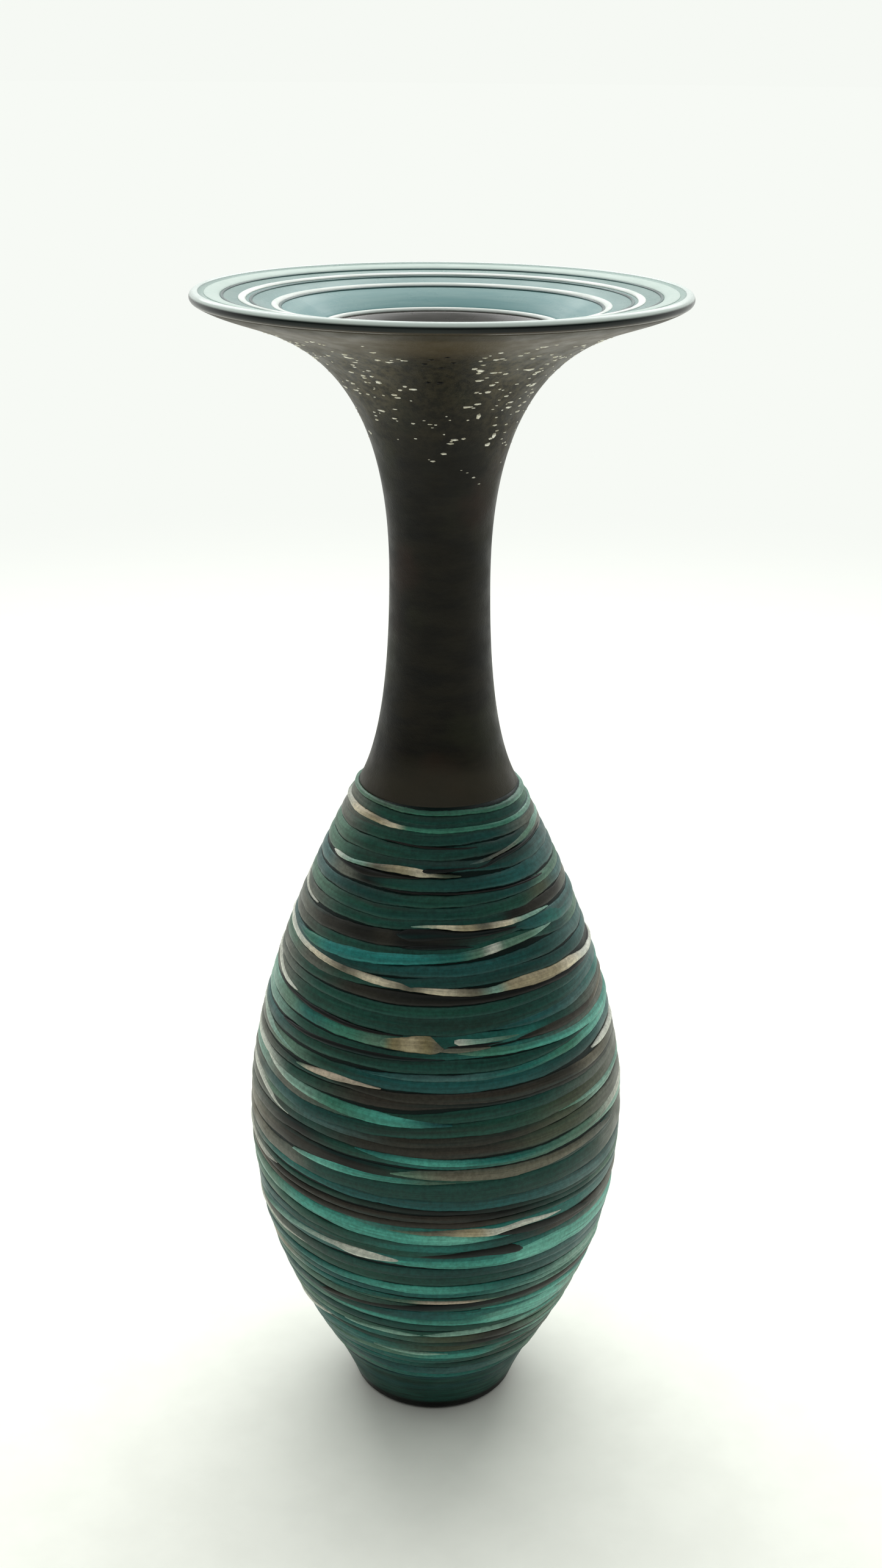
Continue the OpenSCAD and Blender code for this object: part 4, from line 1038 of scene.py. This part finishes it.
line_glass, tree, place = new_finish("dark line glass")
pulls = use_group(tree, streak_tree, {"Vector": place, "Along": 45.0, "Across": 900.0})
lines = mixed(tree, ranged(tree, pulls.outputs["Streak"], 0.35, 0.65), screen(30, 58, 58), screen(58, 92, 90))
rough = ranged(tree, pulls.outputs["Drift"], 0.3, 0.7, 0.2, 0.34)
close_finish(tree, lines, rough, pulls.outputs["Streak"], 0.04 * MM, IOR=1.5, Specular_IOR_Level=0.12)

# %% Turn the rim
turns = [-math.pi / 2 + LIP_RISE + math.pi * k / 16 for k in range(17)]
bm = bmesh.new()
spin_section(bm, [rim_middle + WALL_AT_RIM / 2 * Vector((math.cos(a), math.sin(a))) for a in turns])
finish_piece(bm, "black_rim", rim_glass, ["lip_wrap"])

# %% Lay the rings
lip_bore = [bore(k) for k in lip_range]
bore_walked = [0.0] + list(accumulate((b - a).length for a, b in zip(lip_bore, lip_bore[1:])))


def on_bore(radius, offset, rise):
    """A point on the inside of the lip: at a radius, some way along the wall and lifted into the bowl."""
    at = min(range(len(lip_bore)), key=lambda k: abs(lip_bore[k].x - radius))
    k, share = share_of(bore_walked[at] + offset, bore_walked)
    way = (lip_bore[k + 1] - lip_bore[k]).normalized()
    return lip_bore[k].lerp(lip_bore[k + 1], share) + rise * Vector((-way.y, way.x))


def ring_of_lip(name, radius, width, rise, material, nodes):
    """A low lens of glass round the inside of the lip."""
    bm = bmesh.new()
    half = [math.radians(180 * k / 10) for k in range(11)]
    over = [on_bore(radius, -width / 2 * math.cos(a), rise * math.sin(a)) for a in half]
    under = [on_bore(radius, width / 4 * side, -0.25 * MM) for side in (1, -1)]
    spin_section(bm, over + under)
    return finish_piece(bm, name, material, nodes)


for name, node, radius, width in [("white_band", "lip_ring_outer", RIM_RADIUS - 5.2 * MM, 3.8 * MM),
                                  ("white_ring_wide", "lip_ring_middle", RIM_RADIUS - 12.4 * MM, 1.8 * MM),
                                  ("white_ring_narrow", "lip_ring_inner", RIM_RADIUS - 19.8 * MM, 1.8 * MM),
                                  ("throat_line", "throat_ring", bore(THROAT_AT).x + 0.6 * MM, 1.3 * MM)]:
    ring_of_lip(name, radius, width, 0.4 * MM, white_glass, [node])
for name, node, radius, width in [("dark_line_outer", "lip_ring_outer", RIM_RADIUS - 7.6 * MM, 0.7 * MM),
                                  ("dark_line_wide", "lip_ring_middle", RIM_RADIUS - 13.7 * MM, 0.8 * MM),
                                  ("dark_line_narrow", "lip_ring_inner", RIM_RADIUS - 21.1 * MM, 0.8 * MM)]:
    ring_of_lip(name, radius, width, 0.25 * MM, line_glass, [node])

# %% [markdown]
# ## Chips of glass on the flare
# While it was hot, the flare was rolled in crushed white glass. The chips are flat, a millimetre or less, drawn out
# round the neck, and thickest high on the flare to both sides. A few larger ones lie together. High in the middle of
# the front no cream chips are laid, and a few dark chips sit there instead: painted shade, the chips as they look on
# the unlit front of the flare. Each is a small ball of few faces, squashed, and set on the skin.

# %% Scatter the chips
chip_glass, tree, place = new_finish("crushed cream glass")
grain = noisy(tree, place, 900.0, 3.0)
chip_colour = mixed(tree, ranged(tree, grain, 0.35, 0.65), screen(206, 200, 178), screen(250, 247, 234))
rough = ranged(tree, grain, 0.3, 0.7, 0.3, 0.5)
close_finish(tree, chip_colour, rough, grain, 0.05 * MM, IOR=1.5)

# Painted shade: dark copies of the chips, for the chips on the unlit front of the flare.
shaded_chip_glass, tree, place = new_finish("chips in painted shade")
grain = noisy(tree, place, 900.0, 3.0)
shaded_chip_colour = mixed(tree, ranged(tree, grain, 0.35, 0.65), screen(4, 4, 3), screen(12, 11, 9))
rough = ranged(tree, grain, 0.3, 0.7, 0.25, 0.45)
close_finish(tree, shaded_chip_colour, rough, grain, 0.05 * MM, IOR=1.5, Specular_IOR_Level=0.1)


def press_chip(bm, azimuth, height, long, high, proud):
    """One squashed chip on the skin. Its sizes are half lengths round the neck and up it."""
    turn = math.radians(azimuth)
    walked = walked_to(height)
    low, up_there = off_skin(walked, -0.3 * proud), off_skin(walked + 1 * MM, -0.3 * proud)
    up_way = (up_there - low).normalized()
    round_way = Vector((math.cos(turn), math.sin(turn), 0))
    rise_way = Vector((up_way.x * math.sin(turn), -up_way.x * math.cos(turn), up_way.y))
    frame_of_chip = Matrix((round_way * long, rise_way * high, round_way.cross(rise_way) * proud)).transposed()
    middle = Vector((low.x * math.sin(turn), -low.x * math.cos(turn), low.y))
    where = Matrix.Translation(middle) @ frame_of_chip.to_4x4() @ Euler((0, 0, draw.uniform(-0.5, 0.5))).to_matrix().to_4x4()
    made = bmesh.ops.create_icosphere(bm, subdivisions=1, radius=1.0, matrix=where)
    for v in made["verts"]:
        v.co += Vector(noise.noise_vector(v.co * 2500)) * 0.12 * long


LARGE_CHIPS = [(13, 287.5, 0.9, 0.7), (16, 286.8, 1.1, 0.8), (17, 284.2, 1.2, 0.6), (15.5, 286.2, 0.8, 0.5),
               (19, 290.0, 1.0, 0.5), (25, 282.8, 1.1, 0.6), (24.5, 281.0, 1.1, 0.6), (24, 274.8, 0.8, 1.2),
               (38, 267.3, 1.1, 0.6), (42, 269.4, 0.8, 1.1), (-46, 289.0, 1.2, 0.4), (-35, 290.2, 1.2, 0.5),
               (-23, 289.4, 1.0, 0.6), (-19, 289.0, 1.4, 0.4), (-51, 281.6, 1.1, 0.4), (-31, 283.2, 0.9, 0.5),
               (46, 289.2, 1.2, 0.5), (47, 284.6, 1.1, 0.5), (50, 288.0, 1.2, 0.4), (58, 274.6, 1.4, 0.4),
               (60, 276.8, 1.2, 0.4), (-38, 283.8, 0.9, 0.4), (-24, 279.4, 1.1, 0.4), (34, 289.6, 0.9, 0.5)]
SHADED_CHIPS = [(-6, 288.9), (-3.4, 290.2), (0, 287.9), (4.4, 289.3), (-6, 283.8), (-0.4, 283.8), (2, 291.0)]
bm = bmesh.new()
for azimuth, height, long, high in LARGE_CHIPS:
    press_chip(bm, azimuth, height * MM, 0.85 * long * MM, 0.8 * high * MM, 0.3 * MM)
count = 0
while count < 640:
    azimuth = draw.uniform(-180, 180)
    height = 294 - abs(draw.gauss(0, 14))
    # No cream chips high in the middle of the front, where the dark shaded copies stand instead.
    in_front = abs(azimuth) < 12 and height > 276
    if in_front or height < 250 or draw.random() > 0.35 + 0.65 * wander(azimuth, height, 7.0, 31) + 0.3:
        continue
    size = (0.24 + 0.42 * draw.random() ** 2) * (0.6 + 0.6 * (height - 250) / 44)
    press_chip(bm, azimuth, height * MM, size * MM * draw.uniform(1.1, 2.4), size * MM * draw.uniform(0.5, 0.8), 0.22 * MM)
    count += 1
finish_piece(bm, "cream_chips", chip_glass, ["frit_chips"])

bm = bmesh.new()
for azimuth, height in SHADED_CHIPS:
    press_chip(bm, azimuth, height * MM, 0.85 * MM, 0.42 * MM, 0.2 * MM)
finish_piece(bm, "chips_in_shade", shaded_chip_glass, ["frit_chips"])

# %% [markdown]
# ## Floor, light and camera
# The vase stands on white paper. A wide soft lamp behind and above it throws the shadow forwards, and the room is
# bright behind and at the sides and dim in front, so the silhouette has pale edges and a dark middle. The world's
# light depends on its direction, and the camera sees a plain pale tone instead.

# %% Floor
paper, tree, place = new_finish("white paper")
fibre = noisy(tree, place, 60.0, 4.0)
paper_colour = mixed(tree, ranged(tree, fibre, 0.3, 0.7), screen(247, 249, 240), screen(251, 253, 244))
distance = put(tree, "ShaderNodeVectorMath", {0: place}, operation="LENGTH").outputs["Value"]
backwards = put(tree, "ShaderNodeSeparateXYZ", {0: place}).outputs["Y"]
behind = ranged(tree, maths(tree, "DIVIDE", backwards, distance), -0.5, 0.6)
faraway = maths(tree, "MULTIPLY", ranged(tree, distance, 0.12, 1.1), behind)
near_colour = mixed(tree, faraway, paper_colour, (0, 0, 0, 1))
close_finish(tree, near_colour, ranged(tree, fibre, 0.3, 0.7, 0.75, 0.85), fibre, 0.02 * MM, IOR=1.3,
             Specular_IOR_Level=0.0, Emission_Color=screen(247, 250, 245), Emission_Strength=faraway)
bm = bmesh.new()
bmesh.ops.create_circle(bm, cap_ends=True, segments=128, radius=16.0)
floor_mesh = bpy.data.meshes.new("floor")
bm.to_mesh(floor_mesh)
bm.free()
floor_mesh.materials.append(paper)
floor = bpy.data.objects.new("floor", floor_mesh)
bpy.context.scene.collection.objects.link(floor)

# %% World light
scene = bpy.context.scene
scene.view_settings.view_transform = "Standard"
scene.view_settings.look = "None"
world = bpy.data.worlds.new("studio")
scene.world = world
world.use_nodes = True
tree = world.node_tree
tree.nodes.clear()
way = put(tree, "ShaderNodeTexCoord").outputs["Generated"]
parts = put(tree, "ShaderNodeSeparateXYZ", {0: way})
FRONT_LIGHT, BACK_LIGHT, TOP_LIGHT = 0.03, 1.0, 0.95
from_back = ranged(tree, parts.outputs["Y"], -0.35, 0.55, FRONT_LIGHT, BACK_LIGHT)
from_top = ranged(tree, parts.outputs["Z"], 0.35, 0.95, 0.0, TOP_LIGHT)
level = maths(tree, "MAXIMUM", from_back, from_top)
seen = put(tree, "ShaderNodeLightPath").outputs["Is Camera Ray"]
light = put(tree, "ShaderNodeBackground", {"Color": screen(250, 252, 250), "Strength": level}).outputs[0]
tone = put(tree, "ShaderNodeBackground", {"Color": screen(246, 249, 244), "Strength": 1.0}).outputs[0]
choice = put(tree, "ShaderNodeMixShader", {0: seen, 1: light, 2: tone}).outputs[0]
tree.links.new(choice, put(tree, "ShaderNodeOutputWorld").inputs["Surface"])

# %% Lamps


def softbox(name, place, target, width, height, power):
    """A soft rectangular lamp that looks at a point."""
    lamp = bpy.data.lights.new(name, "AREA")
    lamp.shape = "RECTANGLE"
    lamp.size, lamp.size_y, lamp.energy = width, height, power
    made = bpy.data.objects.new(name, lamp)
    scene.collection.objects.link(made)
    aim = (Vector(target) - Vector(place)).to_track_quat("-Z", "Y")
    made.matrix_world = Matrix.Translation(place) @ aim.to_matrix().to_4x4()
    return made


softbox("back_softbox", (0.0, 0.8, 1.15), (0, 0, 0.1), 1.7, 1.3, 18.0)
softbox("front_fill", (-0.5, -1.3, 0.9), (0, 0, 0.15), 1.4, 1.0, 0.5)

# %% Camera
IMAGE_WIDTH, IMAGE_HEIGHT = 1445, 2570
lens = bpy.data.cameras.new("camera")
lens.lens = 44.8
lens.sensor_width = 36
camera = bpy.data.objects.new("camera", lens)
scene.collection.objects.link(camera)
PITCH, ROLL = math.radians(90 - 21.0), math.radians(0.47)
turned = Matrix.Rotation(PITCH, 4, "X") @ Matrix.Rotation(ROLL, 4, "Z")
camera.matrix_world = Matrix.Translation((0.7 * MM, -465 * MM, 356 * MM)) @ turned
scene.camera = camera
